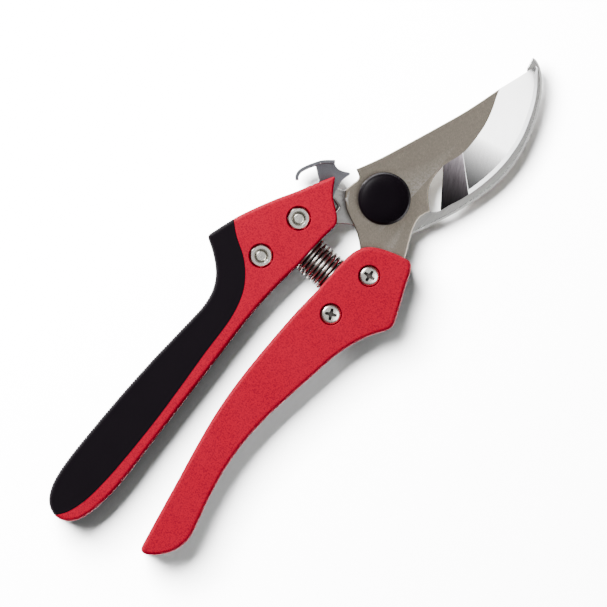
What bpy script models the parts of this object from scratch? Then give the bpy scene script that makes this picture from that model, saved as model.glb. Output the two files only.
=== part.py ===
"""Pruning shears with a thumb latch, built as separate pieces in metres.

The pivot axis is the Z axis. The shears lie on their back, with +Z through the pivot cap and +Y towards the tip
of the blades. Sizes are written in millimetres and turned into metres when a mesh is made.
"""

import math

import bmesh
import bpy

MM = 0.001

# Overall sizes
HANDLE_REACH = 155.0  # from the pivot to the ends of the handles
BLADE_REACH = 69.8  # from the pivot to the tip of the counter blade
HANDLE_THICKNESS = 17.0

# Plates
BLADE_THICKNESS = 3.2
COUNTER_THICKNESS = 3.6
LATCH_THICKNESS = 1.6
EDGE_THICKNESS = 0.5  # land left along the cutting edge
TIP_THICKNESS = 1.0

# Pivot
PIVOT_RADIUS = 4.0
BUSH_WALL = 2.2
CAP_WALL = 1.7
CAP_HEIGHT = 4.6
PIVOT_HEAD_OVERHANG = 3.0
PIVOT_HEAD_HEIGHT = 2.0
WASHER_THICKNESS = 1.0
PIVOT_NUT_ACROSS_FLATS = 13.0

# Handle screws and nuts
SCREW_RADIUS = 2.0
SCREW_HEAD_RADIUS = 3.45
SCREW_HEAD_HEIGHT = 1.9
SCREW_NUT_ACROSS_FLATS = 7.0
SCREW_NUT_HEIGHT = 2.2
RECESS_LENGTH = 3.8
RECESS_WIDTH = 0.9
RECESS_DEPTH = 1.0

# Return spring
SPRING_OUTER_RADIUS = 6.7
SPRING_WIRE_RADIUS = 0.55
SPRING_TURNS = 7.5
SPRING_SEAT_DEPTH = 1.0
POST_RADIUS = 4.3
POST_STANDING = 3.4
POST_STEM_RADIUS = 2.4
POST_STEM_DEPTH = 2.5

# Latch
LATCH_PIN_RADIUS = 1.5
LATCH_PIN_HEAD_RADIUS = 2.5
LATCH_PIN_HEAD_HEIGHT = 0.8
LATCH_TAB_WIDTH = 11.0
LATCH_TAB_THICKNESS = 1.2
LATCH_WIRE_RADIUS = 0.4

# Grip
RIB_THICKNESS = 7.0

# Edges and clearances
HANDLE_EDGE_RADIUS = 2.2
PLATE_EDGE_BREAK = 0.25
GAP = 0.3  # between pieces that touch in the real tool
RUNNING_GAP = 0.08  # radial, between a pin and what turns on it
THREAD_GAP = 0.15  # radial, between a screw and its hole or nut

# Where things stand
FITTINGS_END = -52.0  # the handles keep their shape between the pivot and here, and stretch beyond
NECK_END = 24.0  # the blades keep their shape between the pivot and here, and stretch beyond
DRAWN_HANDLE_REACH = 155.0
DRAWN_BLADE_REACH = 69.8
LATCH_PIVOT = (-16.5, -11.5)
UPPER_SCREWS = ((-17.1, -24.5), (-18.1, -42.5))
LOWER_SCREWS = ((13.8, -23.0), (12.8, -41.4))
SPRING_Y = -31.2
SPRING_FACES = (-6.7, 3.9)  # X of the two handle faces that the spring stands between

# Heights, all from the sizes above
HANDLE_MIDDLE = HANDLE_THICKNESS / 2
PLATE_MEETING = HANDLE_MIDDLE + 0.5
COUNTER_TOP = PLATE_MEETING - GAP / 2
COUNTER_BOTTOM = COUNTER_TOP - COUNTER_THICKNESS
BLADE_BOTTOM = PLATE_MEETING + GAP / 2
BLADE_TOP = BLADE_BOTTOM + BLADE_THICKNESS
LATCH_BOTTOM = BLADE_BOTTOM + 0.1
LATCH_TOP = LATCH_BOTTOM + LATCH_THICKNESS
LATCH_HEAD_TOP = LATCH_TOP + GAP + LATCH_PIN_HEAD_HEIGHT
WASHER_TOP = COUNTER_BOTTOM - GAP
WASHER_BOTTOM = WASHER_TOP - WASHER_THICKNESS
CAP_BOTTOM = BLADE_TOP + GAP
SCREW_SEAT_DEPTH = SCREW_NUT_HEIGHT + GAP
BUSH_RADIUS = PIVOT_RADIUS + RUNNING_GAP + BUSH_WALL
PIVOT_HEAD_RADIUS = PIVOT_RADIUS + PIVOT_HEAD_OVERHANG
CAP_RADIUS = PIVOT_HEAD_RADIUS + GAP + CAP_WALL

# Outlines. Each is a closed run of stretches; a stretch is one smooth curve, and corners stand between stretches.
UPPER_HANDLE = (
    ((-17.5, -5.3), (-20.4, -11.0), (-23.8, -18.0), (-27.6, -25.3), (-31.0, -32.8), (-33.6, -39.6), (-36.4, -49.7)),
    ((-36.4, -49.7), (-31.2, -52.6), (-26.0, -56.8), (-22.9, -61.6), (-21.5, -68.0), (-21.6, -78.0), (-22.0, -92.5),
     (-22.0, -107.0), (-21.6, -121.5), (-20.9, -135.6), (-19.9, -143.9), (-18.2, -149.3), (-15.5, -153.2),
     (-11.5, -155.0), (-7.6, -154.2), (-4.6, -151.2), (-2.8, -145.9), (-1.9, -137.4), (-2.1, -127.7), (-3.0, -116.8),
     (-4.0, -103.7), (-5.0, -90.6), (-6.0, -77.4), (-6.9, -66.2), (-7.4, -55.5), (-7.2, -46.1), (-6.7, -37.9)),
    ((-6.7, -37.9), (-6.7, -24.3)),
    ((-6.7, -24.3), (-6.1, -17.2)),
    ((-6.1, -17.2), (-8.3, -14.9), (-10.7, -13.2), (-13.0, -11.6), (-14.9, -9.4), (-16.4, -7.2), (-17.5, -5.3)),
)
GRIP_SEAM = (
    (-33.9, -39.0), (-29.0, -42.9), (-22.4, -46.7), (-17.6, -51.1), (-13.9, -56.9), (-11.4, -65.8), (-10.1, -80.1),
    (-8.6, -93.8), (-7.3, -107.5), (-6.5, -121.2), (-6.2, -133.7), (-6.8, -143.9), (-8.8, -151.2), (-11.9, -155.6),
)
GRIP_RIB = (
    ((-30.2, -40.0), (-31.2, -46.5)),
    ((-31.2, -46.5), (-25.2, -50.6), (-20.3, -55.8), (-17.6, -62.0), (-16.8, -70.0), (-16.9, -85.0), (-16.9, -102.0),
     (-16.3, -120.0), (-15.3, -136.0), (-12.9, -146.2)),
    ((-12.9, -146.2), (-4.9, -145.0)),
    ((-4.9, -145.0), (-4.6, -133.0), (-5.2, -120.0), (-6.2, -104.0), (-7.6, -85.0), (-9.3, -68.0), (-11.8, -57.5),
     (-15.6, -51.2), (-22.0, -44.8), (-30.2, -40.0)),
)
LOWER_HANDLE = (
    ((3.9, -24.3), (4.4, -20.4), (6.0, -17.0), (8.6, -14.6), (12.4, -12.6), (18.3, -10.5), (21.2, -10.2), (22.9, -11.9),
     (25.9, -18.5), (29.9, -26.9), (31.2, -30.0), (30.7, -32.6), (28.4, -36.4), (25.9, -41.8), (23.5, -50.2),
     (22.2, -60.7), (21.0, -71.4), (20.0, -82.6), (20.0, -93.8), (21.2, -104.1), (23.8, -115.4), (26.7, -124.9),
     (28.1, -130.6), (27.2, -136.2), (24.3, -141.0), (20.6, -144.2), (18.3, -144.2), (17.3, -141.0), (14.9, -131.0),
     (11.9, -118.1), (8.9, -105.5), (6.3, -92.8), (4.6, -79.1), (3.8, -64.3), (3.5, -49.5), (3.9, -38.1)),
    ((3.9, -38.1), (3.9, -24.3)),
)
COUNTER_BLADE = (
    ((6.4, 65.6), (5.3, 69.8)),
    ((5.3, 69.8), (7.6, 69.7), (11.0, 67.8), (14.2, 64.6), (17.1, 60.6), (21.1, 52.8), (24.1, 43.8), (25.2, 35.4),
     (24.8, 27.3), (23.1, 19.4), (20.8, 11.6), (18.0, 4.2), (15.6, -1.2), (12.2, -6.0), (7.2, -10.4), (1.6, -13.1),
     (-2.7, -14.2), (-5.6, -16.4), (-9.2, -20.2), (-12.0, -25.5), (-12.6, -31.2), (-12.8, -42.0), (-14.6, -48.2), (-18.0, -50.2),
     (-21.6, -47.8), (-23.2, -39.0), (-22.6, -28.0), (-21.6, -20.0), (-20.4, -13.0), (-18.4, -9.2), (-15.6, -8.0),
     (-12.8, -7.4), (-11.0, -5.0), (-10.4, -0.6), (-9.2, 4.2), (-5.6, 8.8), (0.0, 11.2), (5.6, 10.6), (9.6, 7.8),
     (12.2, 6.4)),
    ((12.2, 6.4), (14.6, 7.2), (16.7, 9.4)),
    ((16.7, 9.4), (18.2, 17.9), (19.2, 27.0), (19.4, 37.0), (17.6, 46.9), (14.0, 55.4), (9.6, 62.2), (6.4, 65.6)),
)
BLADE_SPINE = ((-14.0, 1.1), (-13.2, 2.6), (-10.0, 10.0), (-6.4, 20.0), (-2.8, 30.3), (0.8, 41.2), (4.1, 54.1))
BLADE_GRIND = (
    (7.4, 21.8), (8.3, 25.2), (9.3, 28.6), (9.6, 32.2), (9.3, 37.2), (8.5, 42.3), (7.0, 47.1), (5.4, 50.8), (4.1, 54.1),
)
BLADE_TIP_SPINE = ((4.1, 54.1), (5.9, 60.2), (7.4, 65.6), (8.1, 68.2))
CUTTING_EDGE = (
    (16.9, 9.8), (18.0, 13.4), (19.5, 17.4), (20.8, 22.2), (21.8, 27.6), (22.3, 33.0), (22.2, 39.0), (21.0, 46.6),
    (18.8, 53.0), (16.2, 58.6), (13.5, 62.8), (10.9, 65.9), (8.9, 68.2),
)
BLADE_NECK_AND_TANG = (
    ((7.4, 21.8), (7.5, 18.4), (7.9, 15.6), (9.0, 12.8), (11.2, 10.0), (14.4, 7.2)),
    ((14.4, 7.2), (13.4, 5.0), (13.1, 2.6), (14.1, -1.1), (16.1, -5.4), (18.5, -10.1), (20.0, -16.0), (20.6, -24.0),
     (19.4, -36.0), (17.0, -45.8), (13.6, -48.6), (9.9, -46.8), (8.8, -39.0), (9.7, -34.0), (9.7, -28.0), (8.4, -22.6),
     (5.6, -18.6), (2.6, -16.0), (-0.4, -14.2), (-3.4, -13.0), (-7.0, -11.4), (-9.8, -9.2), (-11.9, -6.6)),
    ((-11.9, -6.6), (-11.1, -1.7)),
    ((-11.1, -1.7), (-11.3, -0.4), (-12.2, 0.3), (-14.0, 1.1)),
)
LATCH_PLATE = (
    ((-25.4, -7.0), (-24.6, -4.5), (-21.4, -1.3)),
    ((-21.4, -1.3), (-20.2, -2.5), (-18.6, -2.9), (-16.8, -2.4), (-15.2, -1.5), (-14.55, -1.25)),
    ((-14.55, -1.25), (-14.25, -1.5), (-14.25, -2.0)),
    ((-14.25, -2.0), (-14.9, -5.2), (-14.2, -8.2), (-13.4, -11.5), (-14.5, -14.0), (-17.2, -14.8), (-19.6, -13.0),
     (-20.6, -10.2)),
    ((-20.6, -10.2), (-25.4, -7.0)),
)
LATCH_TAB_FACE = (
    (-21.2, -1.4), (-23.0, -2.9), (-24.8, -4.8), (-26.2, -7.2), (-27.4, -9.6), (-28.2, -12.2), (-27.8, -14.4), (-26.7, -15.6),
)
LATCH_POCKET = (
    (-3.0, -6.0), (-7.6, -19.0), (-13.0, -20.5), (-16.6, -17.0), (-20.6, -15.6), (-27.5, -21.0), (-34.0, -16.0),
    (-26.0, 2.0),
)
LATCH_WIRE = ((-12.6, -11.4), (-9.9, -12.1), (-9.4, -12.7), (-9.2, -15.2), (-10.4, -18.2))

FINE = 48  # facets of a turned piece
COARSE = 24  # facets of a small turned piece


def clear_scene():
    """Remove everything that a new file holds."""
    for thing in list(bpy.data.objects):
        bpy.data.objects.remove(thing)


def stretched(point):
    """Move a drawn point with the reach of the handles or of the blades."""
    x, y = point
    if y < FITTINGS_END:
        y = FITTINGS_END + (y - FITTINGS_END) * (HANDLE_REACH + FITTINGS_END) / (DRAWN_HANDLE_REACH + FITTINGS_END)
    if y > NECK_END:
        y = NECK_END + (y - NECK_END) * (BLADE_REACH - NECK_END) / (DRAWN_BLADE_REACH - NECK_END)
    return x, y


def curve_through(points, steps):
    """Points of a smooth open curve through the given ones, with the given number of steps between neighbours."""
    if len(points) == 2:
        return list(points)
    padded = [points[0], *points, points[-1]]
    made = []
    for before, start, end, after in zip(padded, padded[1:], padded[2:], padded[3:]):
        for step in range(steps):
            t = step / steps
            weights = (
                -0.5 * t + t * t - 0.5 * t**3,
                1 - 2.5 * t * t + 1.5 * t**3,
                0.5 * t + 2 * t * t - 1.5 * t**3,
                -0.5 * t * t + 0.5 * t**3,
            )
            corners = (before, start, end, after)
            made.append(tuple(sum(w * c[axis] for w, c in zip(weights, corners)) for axis in range(2)))
    made.append(points[-1])
    return made


def outline(stretches, steps=2):
    """One closed loop from stretches that each start where the last one ends."""
    loop = []
    for stretch in stretches:
        loop += curve_through([stretched(point) for point in stretch], steps)[:-1]
    return loop


def signed_area(loop):
    """Area of a closed loop, positive when it runs anticlockwise."""
    pairs = zip(loop, loop[1:] + loop[:1])
    return 0.5 * sum(a[0] * b[1] - b[0] * a[1] for a, b in pairs)


def anticlockwise(loop):
    """The same loop, turned to run anticlockwise."""
    return loop if signed_area(loop) > 0 else loop[::-1]


def grown(loop, distance):
    """The loop moved outward by a distance, with mitred corners."""
    loop = anticlockwise(loop)
    made = []
    for before, here, after in zip(loop[-1:] + loop[:-1], loop, loop[1:] + loop[:1]):
        normals = []
        for start, end in ((before, here), (here, after)):
            dx = end[0] - start[0]
            dy = end[1] - start[1]
            length = math.hypot(dx, dy)
            normals.append((dy / length, -dx / length))
        mean_x = normals[0][0] + normals[1][0]
        mean_y = normals[0][1] + normals[1][1]
        size = max(mean_x * mean_x + mean_y * mean_y, 0.8)
        made.append((here[0] + 2 * distance * mean_x / size, here[1] + 2 * distance * mean_y / size))
    return made


def add_object(name, vertices, faces, origin=(0.0, 0.0)):
    """An object from points in millimetres, with its own origin at the given X and Y."""
    mesh = bpy.data.meshes.new(name)
    moved = [((x - origin[0]) * MM, (y - origin[1]) * MM, z * MM) for x, y, z in vertices]
    mesh.from_pydata(moved, [], faces)
    made = bpy.data.objects.new(name, mesh)
    made.location = (origin[0] * MM, origin[1] * MM, 0.0)
    bpy.context.scene.collection.objects.link(made)
    face_outward(mesh)
    return made


def face_outward(mesh):
    """Turn every face of a closed mesh to point out."""
    work = bmesh.new()
    work.from_mesh(mesh)
    bmesh.ops.recalc_face_normals(work, faces=work.faces)
    work.to_mesh(mesh)
    work.free()


def prism(name, loop, low, high, origin=(0.0, 0.0)):
    """A plate with the loop as its outline, between two heights."""
    count = len(loop)
    vertices = [(x, y, low) for x, y in loop] + [(x, y, high) for x, y in loop]
    faces = [list(range(count))[::-1], list(range(count, 2 * count))]
    for here in range(count):
        after = (here + 1) % count
        faces.append([here, after, after + count, here + count])
    return add_object(name, vertices, faces, origin)


def turned(name, profile, centre=(0.0, 0.0), facets=FINE, origin=(0.0, 0.0)):
    """A body of revolution about a vertical line, from (radius, height) points; radius 0 is the line itself."""
    vertices = []
    rings = []
    for radius, height in profile:
        if radius == 0:
            rings.append([len(vertices)])
            vertices.append((centre[0], centre[1], height))
            continue
        rings.append(list(range(len(vertices), len(vertices) + facets)))
        for facet in range(facets):
            angle = 2 * math.pi * facet / facets
            vertices.append((centre[0] + radius * math.cos(angle), centre[1] + radius * math.sin(angle), height))
    faces = []
    closed = profile[0][0] > 0
    pairs = list(zip(rings, rings[1:] + rings[:1])) if closed else list(zip(rings, rings[1:]))
    for first, second in pairs:
        for facet in range(facets):
            after = (facet + 1) % facets
            face = [first[facet % len(first)], first[after % len(first)], second[after % len(second)],
                    second[facet % len(second)]]
            faces.append(list(dict.fromkeys(face)))
    return add_object(name, vertices, faces, origin)


def shaft(name, centre, radius, low, high, facets=FINE, origin=(0.0, 0.0)):
    """A plain upright cylinder."""
    return turned(name, ((0, low), (radius, low), (radius, high), (0, high)), centre, facets, origin)


def lay_along_x(thing, x, y, z):
    """Turn an upright piece about the origin to lie along +X, and move it there."""
    for vertex in thing.data.vertices:
        across, up, along = vertex.co
        vertex.co = (along + x * MM, across + y * MM, up + z * MM)


def combine(target, operation, *others):
    """Cut, join or intersect with helpers, which then stay out of the render."""
    for other in others:
        modifier = target.modifiers.new(f"{operation.lower()} {other.name}", "BOOLEAN")
        modifier.operation = operation
        modifier.solver = "EXACT"
        modifier.object = other
        other.hide_render = True
        other.display_type = "WIRE"


def round_edges(thing, width, segments):
    """Round the sharp edges of a piece."""
    bevel = thing.modifiers.new("round edges", "BEVEL")
    bevel.width = width * MM
    bevel.segments = segments
    bevel.limit_method = "ANGLE"
    bevel.angle_limit = math.radians(40)
    bevel.use_clamp_overlap = True


def tube(name, path, radius, sides=8):
    """A round wire along a path of points, with capped ends."""
    vertices = []
    count = len(path)
    for index, point in enumerate(path):
        before = path[max(index - 1, 0)]
        after = path[min(index + 1, count - 1)]
        along = [b - a for a, b in zip(before, after)]
        length = math.sqrt(sum(part * part for part in along))
        along = [part / length for part in along]
        helper = (0.0, 0.0, 1.0) if abs(along[2]) < 0.9 else (0.0, 1.0, 0.0)
        side = cross(along, helper)
        size = math.sqrt(sum(part * part for part in side))
        side = [part / size for part in side]
        up = cross(side, along)
        for corner in range(sides):
            angle = 2 * math.pi * corner / sides
            vertices.append(
                tuple(
                    point[axis] + radius * (math.cos(angle) * side[axis] + math.sin(angle) * up[axis])
                    for axis in range(3)
                )
            )
    faces = [list(range(sides))[::-1], list(range((count - 1) * sides, count * sides))]
    for ring in range(count - 1):
        for corner in range(sides):
            after = (corner + 1) % sides
            low = ring * sides
            faces.append([low + corner, low + after, low + sides + after, low + sides + corner])
    return add_object(name, vertices, faces)


def cross(a, b):
    """The cross product of two vectors."""
    return [a[1] * b[2] - a[2] * b[1], a[2] * b[0] - a[0] * b[2], a[0] * b[1] - a[1] * b[0]]


def hexagon(centre, across_flats):
    """Corners of a hexagon with the given size across its flats."""
    radius = across_flats / math.sqrt(3)
    return [
        (centre[0] + radius * math.cos(math.radians(60 * corner + 12)),
         centre[1] + radius * math.sin(math.radians(60 * corner + 12)))
        for corner in range(6)
    ]


def nut(name, centre, across_flats, bore_radius, low, high):
    """A hexagon nut with its corners turned down and a plain bore."""
    made = prism(name, hexagon(centre, across_flats), low, high)
    corner = across_flats / math.sqrt(3)
    flat = across_flats / 2
    drop = (corner - flat) * 0.8
    profile = ((0, low), (flat, low), (corner, low + drop), (corner, high - drop), (flat, high), (0, high))
    combine(made, "INTERSECT", turned(f"{name} corners", profile, centre, COARSE))
    combine(made, "DIFFERENCE", shaft(f"{name} bore", centre, bore_radius, low - 1, high + 1, COARSE))
    return made


def box(name, centre, size, low, high):
    """An upright block."""
    x, y = centre
    half_x, half_y = size[0] / 2, size[1] / 2
    loop = [(x - half_x, y - half_y), (x + half_x, y - half_y), (x + half_x, y + half_y), (x - half_x, y + half_y)]
    return prism(name, loop, low, high)


def screw(name, centre, head_on_front):
    """A machine screw through a handle, with a crossed recess in its head."""
    front = HANDLE_THICKNESS - 0.1
    back = 0.2
    outer = front if head_on_front else back
    inward = -1 if head_on_front else 1
    seat = outer + inward * SCREW_HEAD_HEIGHT
    end = (back + 0.6) if head_on_front else (front - 0.6)
    profile = (
        (0, outer),
        (SCREW_HEAD_RADIUS * 0.55, outer),
        (SCREW_HEAD_RADIUS * 0.86, outer + inward * SCREW_HEAD_HEIGHT * 0.18),
        (SCREW_HEAD_RADIUS, outer + inward * SCREW_HEAD_HEIGHT * 0.5),
        (SCREW_HEAD_RADIUS, seat),
        (SCREW_RADIUS, seat),
        (SCREW_RADIUS, end - inward * 0.3),
        (SCREW_RADIUS - 0.3, end),
        (0, end),
    )
    made = turned(name, profile, centre, COARSE)
    floor = outer + inward * RECESS_DEPTH
    low, high = sorted((floor, outer - inward))
    arms = ((RECESS_LENGTH, RECESS_WIDTH), (RECESS_WIDTH, RECESS_LENGTH))
    for number, size in enumerate(arms, 1):
        combine(made, "DIFFERENCE", box(f"{name} recess {number}", centre, size, low, high))
    return made


def add_fixings(names, centres, heads_on_front):
    """Screws and nuts of one handle, and the cutters that make room for them."""
    seat_radius = SCREW_NUT_ACROSS_FLATS / math.sqrt(3) + GAP
    cutters = []
    for name, centre in zip(names, centres):
        side, place = name.split("_")
        screw(f"{side}_screw_{place}", centre, heads_on_front)
        if heads_on_front:
            nut_low = 0.2
        else:
            nut_low = HANDLE_THICKNESS - 0.1 - SCREW_NUT_HEIGHT
        nut(
            f"{side}_nut_{place}", centre, SCREW_NUT_ACROSS_FLATS, SCREW_RADIUS + THREAD_GAP,
            nut_low, nut_low + SCREW_NUT_HEIGHT,
        )
        hole = SCREW_RADIUS + GAP
        head_seat = SCREW_HEAD_RADIUS + GAP
        if heads_on_front:
            back_radius, front_radius = seat_radius, head_seat
        else:
            back_radius, front_radius = head_seat, seat_radius
        cutters.append(shaft(f"{name} back seat", centre, back_radius, -1, SCREW_SEAT_DEPTH, COARSE))
        cutters.append(shaft(f"{name} hole", centre, hole, -1, HANDLE_THICKNESS + 1, COARSE))
        front_floor = HANDLE_THICKNESS - SCREW_SEAT_DEPTH
        cutters.append(shaft(f"{name} front seat", centre, front_radius, front_floor, HANDLE_THICKNESS + 1, COARSE))
    return cutters


def spring_cutters(name, face_x, outward):
    """The round seat of the spring in a handle, and the bore of its post, as two cutters."""
    seat_radius = SPRING_OUTER_RADIUS + GAP
    floor = face_x + outward * SPRING_SEAT_DEPTH
    stem_end = floor + outward * (POST_STEM_DEPTH + GAP)
    made = []
    spans = ((seat_radius, floor, face_x - outward * 2, FINE), (POST_STEM_RADIUS + GAP, stem_end, face_x, COARSE))
    for number, (radius, start, end, facets) in enumerate(spans, 1):
        low, high = sorted((start, end))
        piece = shaft(f"{name} {number}", (0.0, 0.0), radius, low, high, facets)
        lay_along_x(piece, 0.0, SPRING_Y, HANDLE_MIDDLE)
        made.append(piece)
    return made


def spring_post(name, face_x, outward):
    """A round post with a stem, standing in a handle's spring seat."""
    seat = face_x + outward * (SPRING_SEAT_DEPTH - GAP)
    tip = face_x - outward * POST_STANDING
    profile = (
        (0, tip),
        (POST_RADIUS - 0.8, tip),
        (POST_RADIUS, tip + outward * 0.8),
        (POST_RADIUS, seat),
        (POST_STEM_RADIUS, seat),
        (POST_STEM_RADIUS, seat + outward * POST_STEM_DEPTH),
        (0, seat + outward * POST_STEM_DEPTH),
    )
    made = turned(name, profile, (0.0, 0.0), COARSE)
    lay_along_x(made, 0.0, SPRING_Y, HANDLE_MIDDLE)
    face_outward(made.data)


def upper_handle_solid(name):
    """The whole upper handle with its rounded edges, before the grip is parted from it."""
    made = prism(name, outline(UPPER_HANDLE), 0.0, HANDLE_THICKNESS)
    round_edges(made, HANDLE_EDGE_RADIUS, 3)
    return made


def coated_side():
    """A loop that covers the coated side of the upper handle and ends at the seam of the grip."""
    seam = curve_through([stretched(point) for point in GRIP_SEAM], 2)
    bottom = seam[-1][1] - 10
    return seam + [(seam[-1][0], bottom), (20.0, bottom), (20.0, 10.0), (-60.0, 10.0), (-60.0, -30.0)]


def build_upper_handle():
    """The coated core of the upper handle, with its rib, tang slot, latch pocket, seats and holes."""
    core = upper_handle_solid("upper_handle")
    over = HANDLE_THICKNESS + 1
    combine(core, "INTERSECT", prism("coated side", coated_side(), -1, over))
    rib_low = HANDLE_MIDDLE - RIB_THICKNESS / 2
    combine(core, "UNION", prism("grip rib", outline(GRIP_RIB), rib_low, rib_low + RIB_THICKNESS))
    tang = grown(outline(COUNTER_BLADE), GAP)
    combine(core, "DIFFERENCE", prism("counter tang slot", tang, COUNTER_BOTTOM - GAP, COUNTER_TOP + GAP))
    pocket = prism("latch pocket", list(LATCH_POCKET), COUNTER_TOP, LATCH_HEAD_TOP + GAP)
    combine(core, "DIFFERENCE", pocket)
    combine(core, "DIFFERENCE", *spring_cutters("upper seat", SPRING_FACES[0], -1))
    combine(core, "DIFFERENCE", *add_fixings(("upper_front", "upper_rear"), UPPER_SCREWS, False))


def build_grip():
    """The soft grip, a channel round the rib of the upper handle."""
    grip = upper_handle_solid("soft_grip")
    over = HANDLE_THICKNESS + 1
    combine(grip, "DIFFERENCE", prism("grip seam", grown(coated_side(), GAP), -1, over))
    rib_low = HANDLE_MIDDLE - RIB_THICKNESS / 2
    channel = grown(outline(GRIP_RIB), GAP)
    combine(grip, "DIFFERENCE", prism("grip channel", channel, rib_low - GAP, rib_low + RIB_THICKNESS + GAP))


def blade_outline():
    """The plan outline of the cutting blade, as loops of its parts: spine, tip spine, edge, grind line and the rest."""
    spine = curve_through([stretched(point) for point in BLADE_SPINE], 2)
    grind = curve_through([stretched(point) for point in BLADE_GRIND], 3)
    tip_spine = curve_through([stretched(point) for point in BLADE_TIP_SPINE], 4)
    edge = curve_through([stretched(point) for point in CUTTING_EDGE], 3)
    rest = []
    for stretch in BLADE_NECK_AND_TANG:
        rest += curve_through([stretched(point) for point in stretch], 2)[:-1]
    return spine, grind, tip_spine, edge, rest


def build_cutting_blade():
    """The cutting blade: a flat plate ground down from a curved line to its cutting edge."""
    spine, grind, tip_spine, edge, rest = blade_outline()
    inner = grind + tip_spine[1:]
    inner_height = [BLADE_TOP] * len(grind)
    for step in range(1, len(tip_spine)):
        share = step / (len(tip_spine) - 1)
        inner_height.append(BLADE_TOP + (BLADE_BOTTOM + TIP_THICKNESS - BLADE_TOP) * share)
    assert len(inner) == len(edge)
    vertices = []
    top = {}
    bottom = {}
    walls = (
        ("spine", spine[:-1], [BLADE_TOP] * (len(spine) - 1)),
        ("inner", inner, inner_height),
        ("edge", edge, [BLADE_BOTTOM + EDGE_THICKNESS] * len(edge)),
        ("rest", rest[1:], [BLADE_TOP] * (len(rest) - 1)),
    )
    for part, loop, heights in walls:
        for index, ((x, y), height) in enumerate(zip(loop, heights)):
            top[part, index] = len(vertices)
            vertices.append((x, y, height))
            bottom[part, index] = len(vertices)
            vertices.append((x, y, BLADE_BOTTOM))
    last = len(inner) - 1
    meeting = len(grind) - 1
    spine_run = [("spine", index) for index in range(len(spine) - 1)]
    tip_run = [("inner", index) for index in range(meeting, last + 1)]
    edge_run = [("edge", index) for index in range(last, -1, -1)]
    rest_run = [("rest", index) for index in range(len(rest) - 1)]
    rim = spine_run + tip_run + edge_run + [("inner", 0)] + rest_run
    faces = [[bottom[key] for key in rim]]
    grind_run = [("inner", index) for index in range(meeting, -1, -1)]
    faces.append([top[key] for key in spine_run + grind_run + rest_run][::-1])
    for index in range(last):
        faces.append([top["inner", index], top["inner", index + 1], top["edge", index + 1], top["edge", index]])
    for here, after in zip(rim, rim[1:] + rim[:1]):
        faces.append([bottom[here], top[here], top[after], bottom[after]])
    blade = add_object("cutting_blade", vertices, faces)
    low = BLADE_BOTTOM - 1
    high = BLADE_TOP + 1
    combine(blade, "DIFFERENCE", shaft("bush hole", (0.0, 0.0), BUSH_RADIUS + GAP, low, high))
    for centre in LOWER_SCREWS:
        combine(blade, "DIFFERENCE", shaft("blade screw hole", centre, SCREW_RADIUS + GAP, low, high, COARSE))


def build_counter_blade():
    """The counter blade: a hooked plate with its tang."""
    plate = prism("counter_blade", outline(COUNTER_BLADE), COUNTER_BOTTOM, COUNTER_TOP)
    round_edges(plate, PLATE_EDGE_BREAK, 1)
    low = COUNTER_BOTTOM - 1
    high = COUNTER_TOP + 1
    holes = [((0.0, 0.0), PIVOT_RADIUS + GAP), (LATCH_PIVOT, LATCH_PIN_RADIUS + THREAD_GAP)]
    holes += [(centre, SCREW_RADIUS + GAP) for centre in UPPER_SCREWS]
    for centre, radius in holes:
        combine(plate, "DIFFERENCE", shaft("plate hole", centre, radius, low, high, COARSE))


def build_lower_handle():
    """The lower handle, with its tang slot, spring seat and holes."""
    handle = prism("lower_handle", outline(LOWER_HANDLE), 0.0, HANDLE_THICKNESS)
    round_edges(handle, HANDLE_EDGE_RADIUS, 3)
    spine, grind, _, _, rest = blade_outline()
    tang = grown(anticlockwise(spine[:4] + rest[len(rest) // 8:]), GAP)
    combine(handle, "DIFFERENCE", prism("blade tang slot", tang, BLADE_BOTTOM - GAP, BLADE_TOP + GAP))
    combine(handle, "DIFFERENCE", *spring_cutters("lower seat", SPRING_FACES[1], 1))
    combine(handle, "DIFFERENCE", *add_fixings(("lower_front", "lower_rear"), LOWER_SCREWS, True))


def build_pivot():
    """The bolt, bush, cap, washer and nut on the pivot axis."""
    head_top = CAP_BOTTOM + PIVOT_HEAD_HEIGHT
    profile = (
        (0, 0.0), (PIVOT_RADIUS - 0.4, 0.0), (PIVOT_RADIUS, 0.4), (PIVOT_RADIUS, CAP_BOTTOM),
        (PIVOT_HEAD_RADIUS, CAP_BOTTOM), (PIVOT_HEAD_RADIUS, head_top - 0.4), (PIVOT_HEAD_RADIUS - 0.4, head_top),
        (0, head_top),
    )
    turned("pivot_bolt", profile)
    inner = PIVOT_RADIUS + RUNNING_GAP
    turned("pivot_bush", ((inner, BLADE_BOTTOM), (BUSH_RADIUS, BLADE_BOTTOM), (BUSH_RADIUS, BLADE_TOP), (inner, BLADE_TOP)))
    pocket = PIVOT_HEAD_RADIUS + GAP
    cap_top = CAP_BOTTOM + CAP_HEIGHT
    profile = (
        (0, head_top + GAP), (pocket, head_top + GAP), (pocket, CAP_BOTTOM), (CAP_RADIUS, CAP_BOTTOM),
        (CAP_RADIUS, cap_top - 2.6), (CAP_RADIUS - 0.35, cap_top - 1.7), (CAP_RADIUS - 1.2, cap_top - 1.0),
        (CAP_RADIUS - 3.2, cap_top - 0.4), (CAP_RADIUS - 6.0, cap_top - 0.08), (0, cap_top),
    )
    turned("pivot_cap", profile)
    inner = PIVOT_RADIUS + THREAD_GAP
    outer = PIVOT_NUT_ACROSS_FLATS / 2 + 0.6
    turned("pivot_washer", ((inner, WASHER_BOTTOM), (outer, WASHER_BOTTOM), (outer, WASHER_TOP), (inner, WASHER_TOP)))
    nut("pivot_nut", (0.0, 0.0), PIVOT_NUT_ACROSS_FLATS, inner, 0.6, WASHER_BOTTOM - GAP)


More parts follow.
